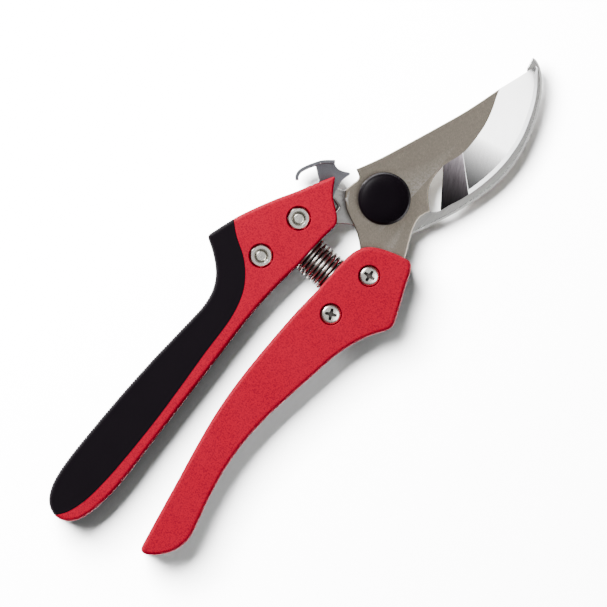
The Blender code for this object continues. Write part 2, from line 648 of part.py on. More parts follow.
def build_latch():
    """The thumb latch, its pin and its wire spring."""
    latch = prism("thumb_latch", outline(LATCH_PLATE), LATCH_BOTTOM, LATCH_TOP, LATCH_PIVOT)
    face = curve_through(list(LATCH_TAB_FACE), 2)
    inner = []
    for before, here, after in zip(face[:1] + face[:-1], face, face[1:] + face[-1:]):
        dx = after[0] - before[0]
        dy = after[1] - before[1]
        length = math.hypot(dx, dy)
        inner.append((here[0] - LATCH_TAB_THICKNESS * dy / length, here[1] + LATCH_TAB_THICKNESS * dx / length))
    tab_low = (LATCH_BOTTOM + LATCH_TOP) / 2 - LATCH_TAB_WIDTH / 2
    tab = prism("latch tab", face + inner[::-1], tab_low, tab_low + LATCH_TAB_WIDTH, LATCH_PIVOT)
    combine(latch, "UNION", tab)
    hole = LATCH_PIN_RADIUS + RUNNING_GAP
    combine(latch, "DIFFERENCE", shaft("latch hole", LATCH_PIVOT, hole, LATCH_BOTTOM - 1, LATCH_TOP + 1))
    head_low = LATCH_TOP + GAP
    profile = (
        (0, COUNTER_BOTTOM), (LATCH_PIN_RADIUS, COUNTER_BOTTOM), (LATCH_PIN_RADIUS, head_low),
        (LATCH_PIN_HEAD_RADIUS, head_low), (LATCH_PIN_HEAD_RADIUS, LATCH_HEAD_TOP), (0, LATCH_HEAD_TOP),
    )
    turned("latch_pin", profile, LATCH_PIVOT)
    height = (LATCH_BOTTOM + LATCH_TOP) / 2
    path = [(x, y, height) for x, y in curve_through(list(LATCH_WIRE), 3)]
    tube("latch_spring", path, LATCH_WIRE_RADIUS)


def build_return_spring():
    """The coil between the handles, with its posts."""
    low = SPRING_FACES[0] - SPRING_SEAT_DEPTH + GAP + SPRING_WIRE_RADIUS
    high = SPRING_FACES[1] + SPRING_SEAT_DEPTH - GAP - SPRING_WIRE_RADIUS
    radius = SPRING_OUTER_RADIUS - SPRING_WIRE_RADIUS
    steps = int(SPRING_TURNS * 18)
    path = []
    for step in range(steps + 1):
        angle = 2 * math.pi * SPRING_TURNS * step / steps
        path.append(
            (low + (high - low) * step / steps, SPRING_Y + radius * math.cos(angle),
             HANDLE_MIDDLE + radius * math.sin(angle))
        )
    tube("return_spring", path, SPRING_WIRE_RADIUS, 6)
    spring_post("upper_spring_post", SPRING_FACES[0], -1)
    spring_post("lower_spring_post", SPRING_FACES[1], 1)


LOOKS = {
    "counter_blade": ((0.42, 0.41, 0.39), 1.0, 0.38),
    "upper_handle": ((0.60, 0.035, 0.06), 0.0, 0.5),
    "soft_grip": ((0.012, 0.010, 0.012), 0.0, 0.7),
    "upper_screw": ((0.62, 0.61, 0.57), 1.0, 0.3),
    "upper_nut": ((0.62, 0.61, 0.57), 1.0, 0.3),
    "lower_screw": ((0.62, 0.61, 0.57), 1.0, 0.3),
    "lower_nut": ((0.62, 0.61, 0.57), 1.0, 0.3),
    "pivot_bolt": ((0.55, 0.55, 0.53), 1.0, 0.35),
    "pivot_cap": ((0.01, 0.008, 0.012), 0.0, 0.2),
    "pivot_washer": ((0.5, 0.5, 0.48), 1.0, 0.35),
    "pivot_nut": ((0.55, 0.55, 0.53), 1.0, 0.35),
    "pivot_bush": ((0.55, 0.42, 0.2), 1.0, 0.4),
    "latch_pin": ((0.5, 0.5, 0.5), 1.0, 0.35),
    "latch_spring": ((0.6, 0.6, 0.6), 1.0, 0.25),
    "return_spring": ((0.3, 0.28, 0.27), 1.0, 0.25),
    "upper_spring_post": ((0.02, 0.02, 0.02), 0.0, 0.5),
    "lower_spring_post": ((0.02, 0.02, 0.02), 0.0, 0.5),
    "cutting_blade": ((0.42, 0.40, 0.36), 1.0, 0.35),
    "lower_handle": ((0.60, 0.035, 0.06), 0.0, 0.5),
    "thumb_latch": ((0.35, 0.35, 0.37), 1.0, 0.4),
}


def add_materials():
    """Give each piece its own material, from its full name or from its name without its place."""
    for thing in bpy.data.objects:
        if thing.hide_render:
            continue
        look = LOOKS.get(thing.name) or LOOKS[thing.name.rsplit("_", 1)[0]]
        colour, metallic, roughness = look
        material = bpy.data.materials.new(thing.name)
        material.use_nodes = True
        shader = material.node_tree.nodes["Principled BSDF"]
        shader.inputs["Base Color"].default_value = (*colour, 1.0)
        shader.inputs["Metallic"].default_value = metallic
        shader.inputs["Roughness"].default_value = roughness
        thing.data.materials.append(material)


def main():
    """Build every piece."""
    clear_scene()
    build_counter_blade()
    build_cutting_blade()
    build_upper_handle()
    build_grip()
    build_lower_handle()
    build_pivot()
    build_latch()
    build_return_spring()
    add_materials()


main()
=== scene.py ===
"""Pruning shears: the finished surfaces and materials, and the stage that shows them.

Laid out as a Blender add-on and run as a script. Shapes are worked out in millimetres, in the frame of the
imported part: the pivot axis is Z, the blades point along +Y, and the backs of the handles lie at Z = 0. The
settings, the depths of bumps and the stage are in metres.
"""

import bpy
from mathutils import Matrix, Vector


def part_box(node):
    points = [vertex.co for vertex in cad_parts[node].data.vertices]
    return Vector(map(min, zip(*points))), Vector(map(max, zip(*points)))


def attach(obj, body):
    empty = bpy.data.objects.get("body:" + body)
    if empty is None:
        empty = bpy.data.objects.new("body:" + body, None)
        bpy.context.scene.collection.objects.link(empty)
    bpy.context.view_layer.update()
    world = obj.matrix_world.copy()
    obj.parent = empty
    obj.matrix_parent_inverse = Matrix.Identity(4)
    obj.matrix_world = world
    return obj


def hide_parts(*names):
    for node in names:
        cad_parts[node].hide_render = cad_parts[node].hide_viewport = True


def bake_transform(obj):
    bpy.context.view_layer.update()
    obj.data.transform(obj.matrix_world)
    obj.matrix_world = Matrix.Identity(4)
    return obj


bl_info = {
    "name": "Pruning shears",
    "version": (1, 0, 0),
    "blender": (4, 5, 0),
    "location": "View3D > Sidebar > Shears",
    "description": "Builds the surfaces, materials and stage of a pair of pruning shears",
    "category": "Object",
}

import math

import bmesh
import bpy
import numpy as np
from bpy.props import FloatProperty, FloatVectorProperty, PointerProperty
from mathutils import Vector

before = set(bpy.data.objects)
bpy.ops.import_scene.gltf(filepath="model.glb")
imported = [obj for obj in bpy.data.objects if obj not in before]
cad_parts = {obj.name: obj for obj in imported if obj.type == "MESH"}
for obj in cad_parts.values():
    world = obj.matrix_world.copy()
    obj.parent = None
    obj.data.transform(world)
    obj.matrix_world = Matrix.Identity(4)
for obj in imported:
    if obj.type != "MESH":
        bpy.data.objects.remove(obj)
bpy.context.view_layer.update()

MM = 0.001

# --------------------------------------------------------------------------------------------------
# Shapes, in millimetres. A stretch is (points of one smooth curve, radius of the rounded edge along it).

UPPER_HANDLE = (
    ((-17.5, -5.3), (-20.4, -11.0), (-23.8, -18.0), (-27.6, -25.3), (-31.0, -32.8), (-33.6, -39.6),
     (-36.4, -49.7)),
    ((-36.4, -49.7), (-31.2, -52.6), (-26.0, -56.8), (-22.9, -61.6), (-21.5, -68.0), (-21.6, -78.0),
     (-22.0, -92.5), (-22.0, -107.0), (-21.6, -121.5), (-20.9, -135.6), (-19.9, -143.9), (-18.2, -149.3),
     (-15.5, -153.2), (-11.5, -155.0), (-7.6, -154.2), (-4.6, -151.2), (-2.8, -145.9), (-1.9, -137.4),
     (-2.1, -127.7), (-3.0, -116.8), (-4.0, -103.7), (-5.0, -90.6), (-6.0, -77.4), (-6.9, -66.2),
     (-7.4, -55.5), (-7.2, -46.1), (-6.7, -37.9)),
    ((-6.7, -37.9), (-6.7, -24.3)),
    ((-6.7, -24.3), (-6.1, -17.2)),
    ((-6.1, -17.2), (-8.3, -14.9), (-10.7, -13.2), (-13.0, -11.6), (-14.9, -9.4), (-16.4, -7.2),
     (-17.5, -5.3)),
)
GRIP_SEAM = (
    (-33.9, -39.0), (-29.0, -42.9), (-22.4, -46.7), (-17.6, -51.1), (-13.9, -56.9), (-11.4, -65.8),
    (-10.1, -80.1), (-8.6, -93.8), (-7.3, -107.5), (-6.5, -121.2), (-6.2, -133.7), (-6.8, -143.9),
    (-8.8, -151.2), (-11.9, -155.6),
)
GRIP_RIB = (
    ((-30.2, -40.0), (-31.2, -46.5)),
    ((-31.2, -46.5), (-25.2, -50.6), (-20.3, -55.8), (-17.6, -62.0), (-16.8, -70.0), (-16.9, -85.0),
     (-16.9, -102.0), (-16.3, -120.0), (-15.3, -136.0), (-12.9, -146.2)),
    ((-12.9, -146.2), (-4.9, -145.0)),
    ((-4.9, -145.0), (-4.6, -133.0), (-5.2, -120.0), (-6.2, -104.0), (-7.6, -85.0), (-9.3, -68.0),
     (-11.8, -57.5), (-15.6, -51.2), (-22.0, -44.8), (-30.2, -40.0)),
)
LOWER_EDGE = (
    (3.9, -24.3), (4.4, -20.4), (6.0, -17.0), (8.6, -14.6), (12.4, -12.6), (18.3, -10.5), (21.2, -10.2),
    (22.9, -11.9), (25.9, -18.5), (29.9, -26.9), (31.2, -30.0), (30.7, -32.6), (28.4, -36.4), (25.9, -41.8),
    (23.5, -50.2), (22.2, -60.7), (21.0, -71.4), (20.0, -82.6), (20.0, -93.8), (21.2, -104.1),
    (23.8, -115.4), (26.7, -124.9), (28.1, -130.6), (27.2, -136.2), (24.3, -141.0), (20.6, -144.2),
    (18.3, -144.2), (17.3, -141.0), (14.9, -131.0), (11.9, -118.1), (8.9, -105.5), (6.3, -92.8),
    (4.6, -79.1), (3.8, -64.3), (3.5, -49.5), (3.9, -38.1),
)
HOOK_TIP = ((6.4, 65.6), (5.3, 69.8))
HOOK_BACK = (
    (5.3, 69.8), (7.6, 69.7), (11.0, 67.8), (14.2, 64.6), (17.1, 60.6), (21.1, 52.8), (24.1, 43.8),
    (25.2, 35.4), (24.8, 27.3), (23.1, 19.4), (20.8, 11.6), (18.0, 4.2), (15.6, -1.2),
)
COUNTER_TANG = (
    (15.6, -1.2), (12.2, -6.0), (7.2, -10.4), (1.6, -13.1), (-2.7, -14.2), (-5.6, -16.4), (-9.2, -20.2),
    (-12.0, -25.5), (-12.6, -31.2), (-12.8, -42.0), (-14.6, -48.2), (-18.0, -50.2), (-21.6, -47.8),
    (-23.2, -39.0), (-22.6, -28.0), (-21.6, -20.0), (-20.4, -13.0), (-18.4, -9.2), (-15.6, -8.0),
    (-12.8, -7.4), (-11.0, -5.0), (-10.4, -0.6), (-9.2, 4.2), (-5.6, 8.8), (0.0, 11.2), (5.6, 10.6),
    (9.6, 7.8), (12.2, 6.4),
)
HOOK_HEEL = ((12.2, 6.4), (14.6, 7.2), (16.7, 9.4))
HOOK_MOUTH = (
    (16.7, 9.4), (18.2, 17.9), (19.2, 27.0), (19.4, 37.0), (17.6, 46.9), (14.0, 55.4), (9.6, 62.2),
    (6.4, 65.6),
)
BLADE_SPINE = (
    (-14.0, 1.1), (-13.2, 2.6), (-10.0, 10.0), (-6.4, 20.0), (-2.8, 30.3), (0.8, 41.2), (4.1, 54.1),
)
BLADE_TIP_SPINE = ((4.1, 54.1), (5.9, 60.2), (7.4, 65.6), (8.1, 68.2))
BLADE_TIP = ((8.1, 68.2), (8.9, 68.2))
BLADE_GRIND = (
    (7.4, 21.8), (8.3, 25.2), (9.3, 28.6), (9.6, 32.2), (9.3, 37.2), (8.5, 42.3), (7.0, 47.1), (5.4, 50.8),
    (4.1, 54.1),
)
CUTTING_EDGE = (
    (16.9, 9.8), (18.0, 13.4), (19.5, 17.4), (20.8, 22.2), (21.8, 27.6), (22.3, 33.0), (22.2, 39.0),
    (21.0, 46.6), (18.8, 53.0), (16.2, 58.6), (13.5, 62.8), (10.9, 65.9), (8.9, 68.2),
)
BLADE_NECK = ((7.4, 21.8), (7.5, 18.4), (7.9, 15.6), (9.0, 12.8), (11.2, 10.0), (14.4, 7.2))
BLADE_TANG = (
    (14.4, 7.2), (13.4, 5.0), (13.1, 2.6), (14.1, -1.1), (16.1, -5.4), (18.5, -10.1), (20.0, -16.0),
    (20.6, -24.0), (19.4, -36.0), (17.0, -45.8), (13.6, -48.6), (9.9, -46.8), (8.8, -39.0), (9.7, -34.0),
    (9.7, -28.0), (8.4, -22.6), (5.6, -18.6), (2.6, -16.0), (-0.4, -14.2), (-3.4, -13.0), (-7.0, -11.4),
    (-9.8, -9.2), (-11.9, -6.6),
)
NOTCH_LOW = ((-11.9, -6.6), (-11.1, -1.7))
NOTCH_HIGH = ((-11.1, -1.7), (-11.3, -0.4), (-12.2, 0.3), (-14.0, 1.1))
LATCH_PLATE = (
    ((-25.4, -7.0), (-24.6, -4.5), (-21.4, -1.3)),
    ((-21.4, -1.3), (-20.2, -2.5), (-18.6, -2.9), (-16.8, -2.4), (-15.2, -1.5), (-14.55, -1.25)),
    ((-14.55, -1.25), (-14.25, -1.5), (-14.25, -2.0)),
    ((-14.25, -2.0), (-14.9, -5.2), (-14.2, -8.2), (-13.4, -11.5), (-14.5, -14.0), (-17.2, -14.8),
     (-19.6, -13.0), (-20.6, -10.2)),
    ((-20.6, -10.2), (-25.4, -7.0)),
)
LATCH_TAB = (
    (-21.2, -1.4), (-23.0, -2.9), (-24.8, -4.8), (-26.2, -7.2), (-27.4, -9.6), (-28.2, -12.2),
    (-27.8, -14.4), (-26.7, -15.6),
)
LATCH_POCKET = (
    (-3.0, -6.0), (-7.6, -19.0), (-13.0, -20.5), (-16.6, -17.0), (-20.6, -15.6), (-27.5, -21.0),
    (-34.0, -16.0), (-26.0, 2.0),
)
LATCH_WIRE = ((-12.6, -11.4), (-9.9, -12.1), (-9.4, -12.7), (-9.2, -15.2), (-10.4, -18.2))

UPPER_SCREWS = ((-17.1, -24.5), (-18.1, -42.5))
LOWER_SCREWS = ((13.8, -23.0), (12.8, -41.4))
SPRING_Y = -31.2
SPRING_FACES = (-6.7, 3.9)
LATCH_PIVOT = (-16.5, -11.5)
COUNTER_OUTLINE = (HOOK_TIP, HOOK_BACK, COUNTER_TANG, HOOK_HEEL, HOOK_MOUTH)
COUNTER_EDGES = (0.25, 0.95, 0.25, 0.25, 0.12)
SPRING_POST = (
    (2.4, -3.2), (2.4, -0.75), (4.3, -0.7), (4.3, 2.6), (4.22, 2.9), (3.9, 3.2), (3.4, 3.4), (0.2, 3.4),
)

# Sizes, in millimetres. A nut has its size across the flats and the radius of its hole.

CLEARANCE = 0.3
SEAM_GAP = 0.14
SCREW_HOLE_RADIUS = 2.3
HEAD_SEAT_RADIUS = 3.75
NUT_SEAT_RADIUS = 4.2
SEAT_DEPTH = 2.5
BOLT_HOLE_RADIUS = 4.3
BUSH_HOLE_RADIUS = 6.58
PIN_HOLE_RADIUS = 1.65
LATCH_HOLE_RADIUS = 1.58
TAB_THICKNESS = 1.2
RIB_SPAN = (5.0, 12.0)
RIB_CHANNEL_SPAN = (4.7, 12.3)
RIBS_Y = (-60.0, -150.0)
RIB_FADE = 8.0
PALM_X = -16.0
COIL_RADIUS = 6.7
WIRE_RADIUS = 0.56
COIL_INSET = 0.7
SMALL_NUT = (7.0, 2.12)
PIVOT_NUT = (13.0, 4.12)
KEEN_WIDTH = 1.5
KEEN_SLOPE = 0.235
EDGE_THICKNESS = 0.3
GRIND_SAG = 0.1
TIP_START = 54.1
TIP_LENGTH = 14.1
LEAST_EDGE_RADIUS = 0.02

# How finely shapes are worked out.

SAMPLES_PER_SEGMENT = 24
MOST_CHOSEN_POINTS = 60
FEWEST_LOOP_POINTS = 24
NUT_POINTS = 96
EDGE_SPREAD = 3.0
VOLUME_SLACK = 1e-3


# --------------------------------------------------------------------------------------------------
# Heights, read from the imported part


def span(node):
    """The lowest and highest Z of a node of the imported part, in millimetres."""
    low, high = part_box(node)
    return low.z / MM, high.z / MM


# --------------------------------------------------------------------------------------------------
# Curves


def curve(points, per_segment=SAMPLES_PER_SEGMENT):
    """Even steps along a cubic through the points: each piece leaves a point in the direction between the
    neighbours of that point, and the ends repeat themselves as neighbours."""
    points = np.asarray(points, float)
    if len(points) == 2:
        t = np.linspace(0, 1, per_segment * 2 + 1)[:, None]
        return points[0] * (1 - t) + points[1] * t
    padded = np.vstack([points[:1], points, points[-1:]])
    t = (np.arange(per_segment) / per_segment)[None, :, None]
    a, b, c, d = (padded[start : start + len(points) - 1, None] for start in range(4))
    made = (
        a * (-0.5 * t + t**2 - 0.5 * t**3)
        + b * (1 - 2.5 * t**2 + 1.5 * t**3)
        + c * (0.5 * t + 2 * t**2 - 1.5 * t**3)
        + d * (-0.5 * t**2 + 0.5 * t**3)
    )
    return np.vstack([made.reshape(-1, points.shape[1]), points[-1:]])


def resampled(points, count):
    """The same open curve with a given number of points, evenly spaced by length."""
    steps = np.linalg.norm(np.diff(points, axis=0), axis=1)
    length = np.concatenate([[0], np.cumsum(steps)])
    wanted = np.linspace(0, length[-1], count)
    return np.stack([np.interp(wanted, length, points[:, axis]) for axis in range(points.shape[1])], axis=1)


def softened(values, sigma):
    """A closed run of values averaged with a bell curve of the given width in samples, by Fourier
    transform."""
    frequency = np.fft.fftfreq(len(values))
    bell = np.exp(-2 * (np.pi * frequency * sigma) ** 2)
    shape = (len(values),) + (1,) * (values.ndim - 1)
    return np.fft.ifft(np.fft.fft(values, axis=0) * bell.reshape(shape), axis=0).real


def anticlockwise(rows):
    """The same closed run of rows, turned round where the shoelace sum of their first two columns is
    negative."""
    x, y = rows[:, 0], rows[:, 1]
    return rows[::-1] if (x * np.roll(y, -1) - np.roll(x, -1) * y).sum() < 0 else rows


def loop_of(stretches, spacing=0.4, soften=0.45):
    """A closed anticlockwise loop from (points, edge radius) stretches that each start where the last one
    ends. It returns the loop's points and the edge radius at each, with corners rounded to about the
    softening length. A stretch of many points is taken as a curve that is worked out already."""
    rows = []
    for points, radius in stretches:
        made = (np.asarray(points) if len(points) > MOST_CHOSEN_POINTS else curve(points))[:-1]
        rows.append(np.column_stack([made, np.full(len(made), float(radius))]))
    rows = np.vstack(rows)
    rows = np.vstack([rows, rows[:1]])
    steps = np.linalg.norm(np.diff(rows[:, :2], axis=0), axis=1)
    length = np.concatenate([[0], np.cumsum(steps)])
    count = max(FEWEST_LOOP_POINTS, int(round(steps.sum() / spacing)))
    wanted = np.linspace(0, length[-1], count, endpoint=False)
    made = np.stack([np.interp(wanted, length, rows[:, axis]) for axis in range(3)], axis=1)
    made = anticlockwise(softened(made, soften / spacing))
    return made[:, :2].copy(), np.maximum(made[:, 2], LEAST_EDGE_RADIUS)


def outward(loop):
    """Unit vectors pointing out of an anticlockwise loop: the direction between each point's neighbours,
    turned a quarter turn clockwise."""
    along = np.roll(loop, -1, axis=0) - np.roll(loop, 1, axis=0)
    along /= np.linalg.norm(along, axis=1, keepdims=True)
    return np.column_stack([along[:, 1], -along[:, 0]])


# --------------------------------------------------------------------------------------------------
# Meshes


def make_object(name, vertices, faces, materials, indices=None, smooth_angle=35.0):
    """An object at the origin from points in millimetres. Edges sharper than the angle stay crisp."""
    mesh = bpy.data.meshes.new(name)
    mesh.from_pydata((np.asarray(vertices) * MM).tolist(), [], faces)
    for material in materials:
        mesh.materials.append(material)
    if indices is not None:
        mesh.polygons.foreach_set("material_index", np.asarray(indices, np.int32))
    mesh.update()
    thing = bpy.data.objects.new(name, mesh)
    bpy.context.scene.collection.objects.link(thing)
    shade(thing, smooth_angle)
    return thing


def shade(thing, angle):
    """Smooth shading, with edges sharper than the angle, and those where the finish changes, kept crisp."""
    mesh = thing.data
    mesh.polygons.foreach_set("use_smooth", np.ones(len(mesh.polygons), bool))
    mesh.set_sharp_from_angle(angle=math.radians(angle))
    finish = np.zeros(len(mesh.polygons), np.int32)
    mesh.polygons.foreach_get("material_index", finish)
    if finish.any():
        corners = np.zeros(len(mesh.polygons), np.int32)
        mesh.polygons.foreach_get("loop_total", corners)
        edges = np.zeros(len(mesh.loops), np.int32)
        mesh.loops.foreach_get("edge_index", edges)
        at_corner = np.repeat(finish, corners)
        least, most = np.full(len(mesh.edges), 99), np.zeros(len(mesh.edges), int)
        np.minimum.at(least, edges, at_corner)
        np.maximum.at(most, edges, at_corner)
        crisp = np.zeros(len(mesh.edges), bool)
        mesh.edges.foreach_get("use_edge_sharp", crisp)
        mesh.edges.foreach_set("use_edge_sharp", crisp | (least != most))
    mesh.update()


def skin(name, rings, materials, strips=None, closed=False, smooth_angle=35.0):
    """One surface through rings of equally many points, each ring running anticlockwise seen from the end
    that the rings run towards. The ends are closed with flat faces, or joined to each other where
    closed is set. strips gives the material of the strip after each ring; the flat ends have the first
    material."""
    rings = np.asarray(rings, float)
    count, around = rings.shape[:2]
    here = np.arange(around)
    after = np.roll(here, -1)
    faces = []
    indices = []
    for level in range(count if closed else count - 1):
        low = level * around
        high = ((level + 1) % count) * around
        quads = np.column_stack([low + here, low + after, high + after, high + here])
        faces += quads.tolist()
        indices += [0 if strips is None else strips[level]] * around
    if not closed:
        faces += [here[::-1].tolist(), ((count - 1) * around + here).tolist()]
        indices += [0, 0]
    return make_object(name, rings.reshape(-1, 3), faces, materials, indices, smooth_angle)


def room_inside(loop):
    """For each point of a loop, the radius of the largest circle that touches the loop there from inside:
    the least, over the other points, of the squared distance over twice its part along the inward
    normal. Points moved in by less than this never cross."""
    inward = -outward(loop)
    apart = loop[None] - loop[:, None]
    ahead = apart[..., 0] * inward[:, None, 0] + apart[..., 1] * inward[:, None, 1]
    square = apart[..., 0] ** 2 + apart[..., 1] ** 2
    return np.where(ahead > 1e-7, square / np.maximum(2 * ahead, 1e-9), 1e3).min(axis=1)


def fitted(loop, radius):
    """An edge radius at each point that leaves room for the edge all round and changes smoothly along the
    loop, and that room."""
    room = room_inside(loop)
    radius = np.minimum(radius, 0.8 * room)
    return np.minimum(softened(radius, EDGE_SPREAD), 0.84 * room), room


def inset_loops(loop, distance, shares):
    """The loop moved straight in by shares of a distance given at each point."""
    return [loop - outward(loop) * (distance * share)[:, None] for share in shares]


def plate_rings(loop, radius, low, high, segments=7, relief=None):
    """Rings of a flat plate with rounded edges: on each ring the loop is moved in and the height raised as
    a quarter circle of the edge radius gives, at the bottom edge and again at the top edge. One more
    ring lies in each flat face, close inside its rounded edge. relief sinks the wall by a depth at each
    point, and fades to nothing at the flat faces as the sine of the turn along the edge."""
    radius, room = fitted(loop, np.minimum(radius, (high - low) * 0.49))
    turns = np.linspace(math.pi / 2, 0, segments)
    sunk = np.zeros(len(loop)) if relief is None else relief
    out = outward(loop)
    edges = [loop - out * (radius * (1 - math.sin(turn)) + sunk * math.sin(turn))[:, None] for turn in turns]
    flat = loop - out * np.minimum(radius + 0.2, 0.93 * room)[:, None]
    rises = [radius * (1 - math.cos(turn)) for turn in turns]
    rings = [np.column_stack([flat, np.full(len(loop), float(low))])]
    rings += [np.column_stack([edge, low + rise]) for edge, rise in zip(edges[::-1], rises[::-1])]
    rings += [np.column_stack([edge, high - rise]) for edge, rise in zip(edges, rises)]
    rings.append(np.column_stack([flat, np.full(len(loop), float(high))]))
    return rings


def plate(name, stretches, low, high, materials, spacing=0.4, soften=0.45, segments=7):
    """A flat plate with rounded edges."""
    loop, radius = loop_of(stretches, spacing, soften)
    return skin(name, plate_rings(loop, radius, low, high, segments), materials)


def lathe(name, profile, materials, centre=(0.0, 0.0), around=72, smooth_angle=35.0):
    """A surface turned about an upright line through the centre: each (radius, height) gives one circle."""
    angle = np.linspace(0, 2 * math.pi, around, endpoint=False)
    radius, height = np.asarray(profile, float).T[:, :, None]
    x = centre[0] + radius * np.cos(angle)
    y = centre[1] + radius * np.sin(angle)
    rings = np.stack([x, y, np.broadcast_to(height, x.shape)], axis=2)
    return skin(name, rings, materials, smooth_angle=smooth_angle)


def lay_along_x(thing, x, y, z):
    """Turn an upright mesh so that its axis lies along +X, and move it by the given millimetres."""
    count = len(thing.data.vertices)
    points = np.empty(count * 3, np.float32)
    thing.data.vertices.foreach_get("co", points)
    points = points.reshape(-1, 3)[:, [2, 0, 1]] + np.array([x, y, z], np.float32) * MM
    thing.data.vertices.foreach_set("co", points.reshape(-1))
    thing.data.update()


def prism(name, loop, low, high):
    """An upright block with the loop as its plan."""
    loop = anticlockwise(np.asarray(loop, float))
    rings = [np.column_stack([loop, np.full(len(loop), float(height))]) for height in (low, high)]
    return skin(name, rings, [])


def wire(name, path, radius, materials, around=14):
    """A round wire: circles that stand square to the path, each carried on from the last without twisting,
    and drawn in at the two ends."""
    path = np.asarray(path, float)
    along = np.gradient(path, axis=0)
    along /= np.linalg.norm(along, axis=1, keepdims=True)
    side = np.cross(along[0], [0.0, 0.0, 1.0])
    if np.linalg.norm(side) < 0.1:
        side = np.cross(along[0], [0.0, 1.0, 0.0])
    angle = np.linspace(0, 2 * math.pi, around, endpoint=False)
    rings = []
    last = len(path) - 1
    for index, (point, direction) in enumerate(zip(path, along)):
        side = side - direction * side.dot(direction)
        side /= np.linalg.norm(side)
        up = np.cross(direction, side)
        circle = np.cos(angle)[:, None] * side + np.sin(angle)[:, None] * up
        if index == 0:
            rings.append(point + circle * radius * 0.6)
        rings.append(point + direction * (0.25 * radius if index == 0 else 0) + circle * radius)
        if index == last:
            rings.append(point + direction * 0.25 * radius + circle * radius * 0.6)
    return skin(name, rings, materials, smooth_angle=50)


def volume_of(mesh):
    """Volume inside a closed mesh: a sixth of the determinant of each triangle's corners, summed."""
    mesh.calc_loop_triangles()
    points = np.empty(len(mesh.vertices) * 3, np.float32)
    mesh.vertices.foreach_get("co", points)
    corners = np.empty(len(mesh.loop_triangles) * 3, np.int32)
    mesh.loop_triangles.foreach_get("vertices", corners)
    triangles = points.reshape(-1, 3)[corners.reshape(-1, 3)].astype(float)
    return float(np.linalg.det(triangles).sum() / 6) if len(triangles) else 0.0


def cut(thing, cutters, operation="DIFFERENCE"):
    """Cut, join or intersect with helpers one after another, keep the result as the mesh, and remove the
    helpers. Faces keep the material numbers of the mesh that they come from. A result that has lost the
    solid, or that changed it the wrong way, is an error."""
    for cutter in cutters if isinstance(cutters, list) else [cutters]:
        before, other = volume_of(thing.data), volume_of(cutter.data)
        modifier = thing.modifiers.new("cut", "BOOLEAN")
        modifier.operation = operation
        modifier.solver = "EXACT"
        modifier.material_mode = "INDEX"
        modifier.object = cutter
        graph = bpy.context.evaluated_depsgraph_get()
        made = bpy.data.meshes.new_from_object(thing.evaluated_get(graph))
        thing.modifiers.clear()
        after = volume_of(made)
        least = {"DIFFERENCE": before - other, "UNION": before, "INTERSECT": 0.0}[operation]
        most = {"DIFFERENCE": before, "UNION": before + other, "INTERSECT": min(before, other)}[operation]
        slack = VOLUME_SLACK * before
        if other <= 0 or after <= 0 or not least - slack <= after <= most + slack:
            volumes = f"volumes {before} and {other} gave {after}"
            raise RuntimeError(f"{operation} of {thing.name} with {cutter.name}: {volumes}")
        old, spent = thing.data, cutter.data
        thing.data = made
        bpy.data.objects.remove(cutter)
        bpy.data.meshes.remove(old)
        bpy.data.meshes.remove(spent)
    return thing


def close_holes(mesh):
    """Close the hair-thin holes that a cut left."""
    net = bmesh.new()
    net.from_mesh(mesh)
    bmesh.ops.holes_fill(net, edges=[edge for edge in net.edges if edge.is_boundary])
    net.to_mesh(mesh)
    net.free()


def bore(centre, radius, low, high):
    """A plain round cutter."""
    return lathe("bore", [(radius, low), (radius, high)], [], centre, around=48)


def finish_piece(thing, body, nodes):
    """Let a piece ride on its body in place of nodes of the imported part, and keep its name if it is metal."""
    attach(thing, body)
    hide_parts(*nodes)
    note_metal(thing)
    return thing


def note_metal(thing):
    """Keep the name of a piece of metal, which the cards light."""
    black_or_red = {MATERIALS[name].name for name in ("coat", "grip", "cap", "post")}
    if thing.data.materials[0].name not in black_or_red:
        METAL_PIECES.append(thing.name)


# --------------------------------------------------------------------------------------------------
# Node trees


class Tree:
    """A short way to add nodes: values that are sockets are linked, others are set."""

    def __init__(self, tree):
        self.tree = tree

    def add(self, kind, values=None, **settings):
        node = self.tree.nodes.new(kind)
        for key, value in settings.items():
            setattr(node, key, value)
        for key, value in (values or {}).items():
            if isinstance(value, bpy.types.NodeSocket):
                self.tree.links.new(value, node.inputs[key])
            else:
                node.inputs[key].default_value = value
        return node

    def math(self, operation, first, second=0.0):
        return self.add("ShaderNodeMath", {0: first, 1: second}, operation=operation).outputs[0]

    def noise(self, vector, scale, detail=3.0, rough=0.55):
        values = {"Vector": vector, "Scale": scale, "Detail": detail, "Roughness": rough}
        return self.add("ShaderNodeTexNoise", values).outputs["Fac"]

    def ramp(self, value, low, high, start=0.0, end=1.0):
        values = {"Value": value, "From Min": low, "From Max": high, "To Min": start, "To Max": end}
        return self.add("ShaderNodeMapRange", values, clamp=True).outputs["Result"]

    def mix(self, share, first, second, blend="MIX"):
        node = self.tree.nodes.new("ShaderNodeMix")
        node.data_type = "RGBA"
        node.blend_type = blend
        for key, value in ((0, share), (6, first), (7, second)):
            if isinstance(value, bpy.types.NodeSocket):
                self.tree.links.new(value, node.inputs[key])
            else:
                node.inputs[key].default_value = (*value, 1.0) if key and len(value) == 3 else value
        return node.outputs[2]


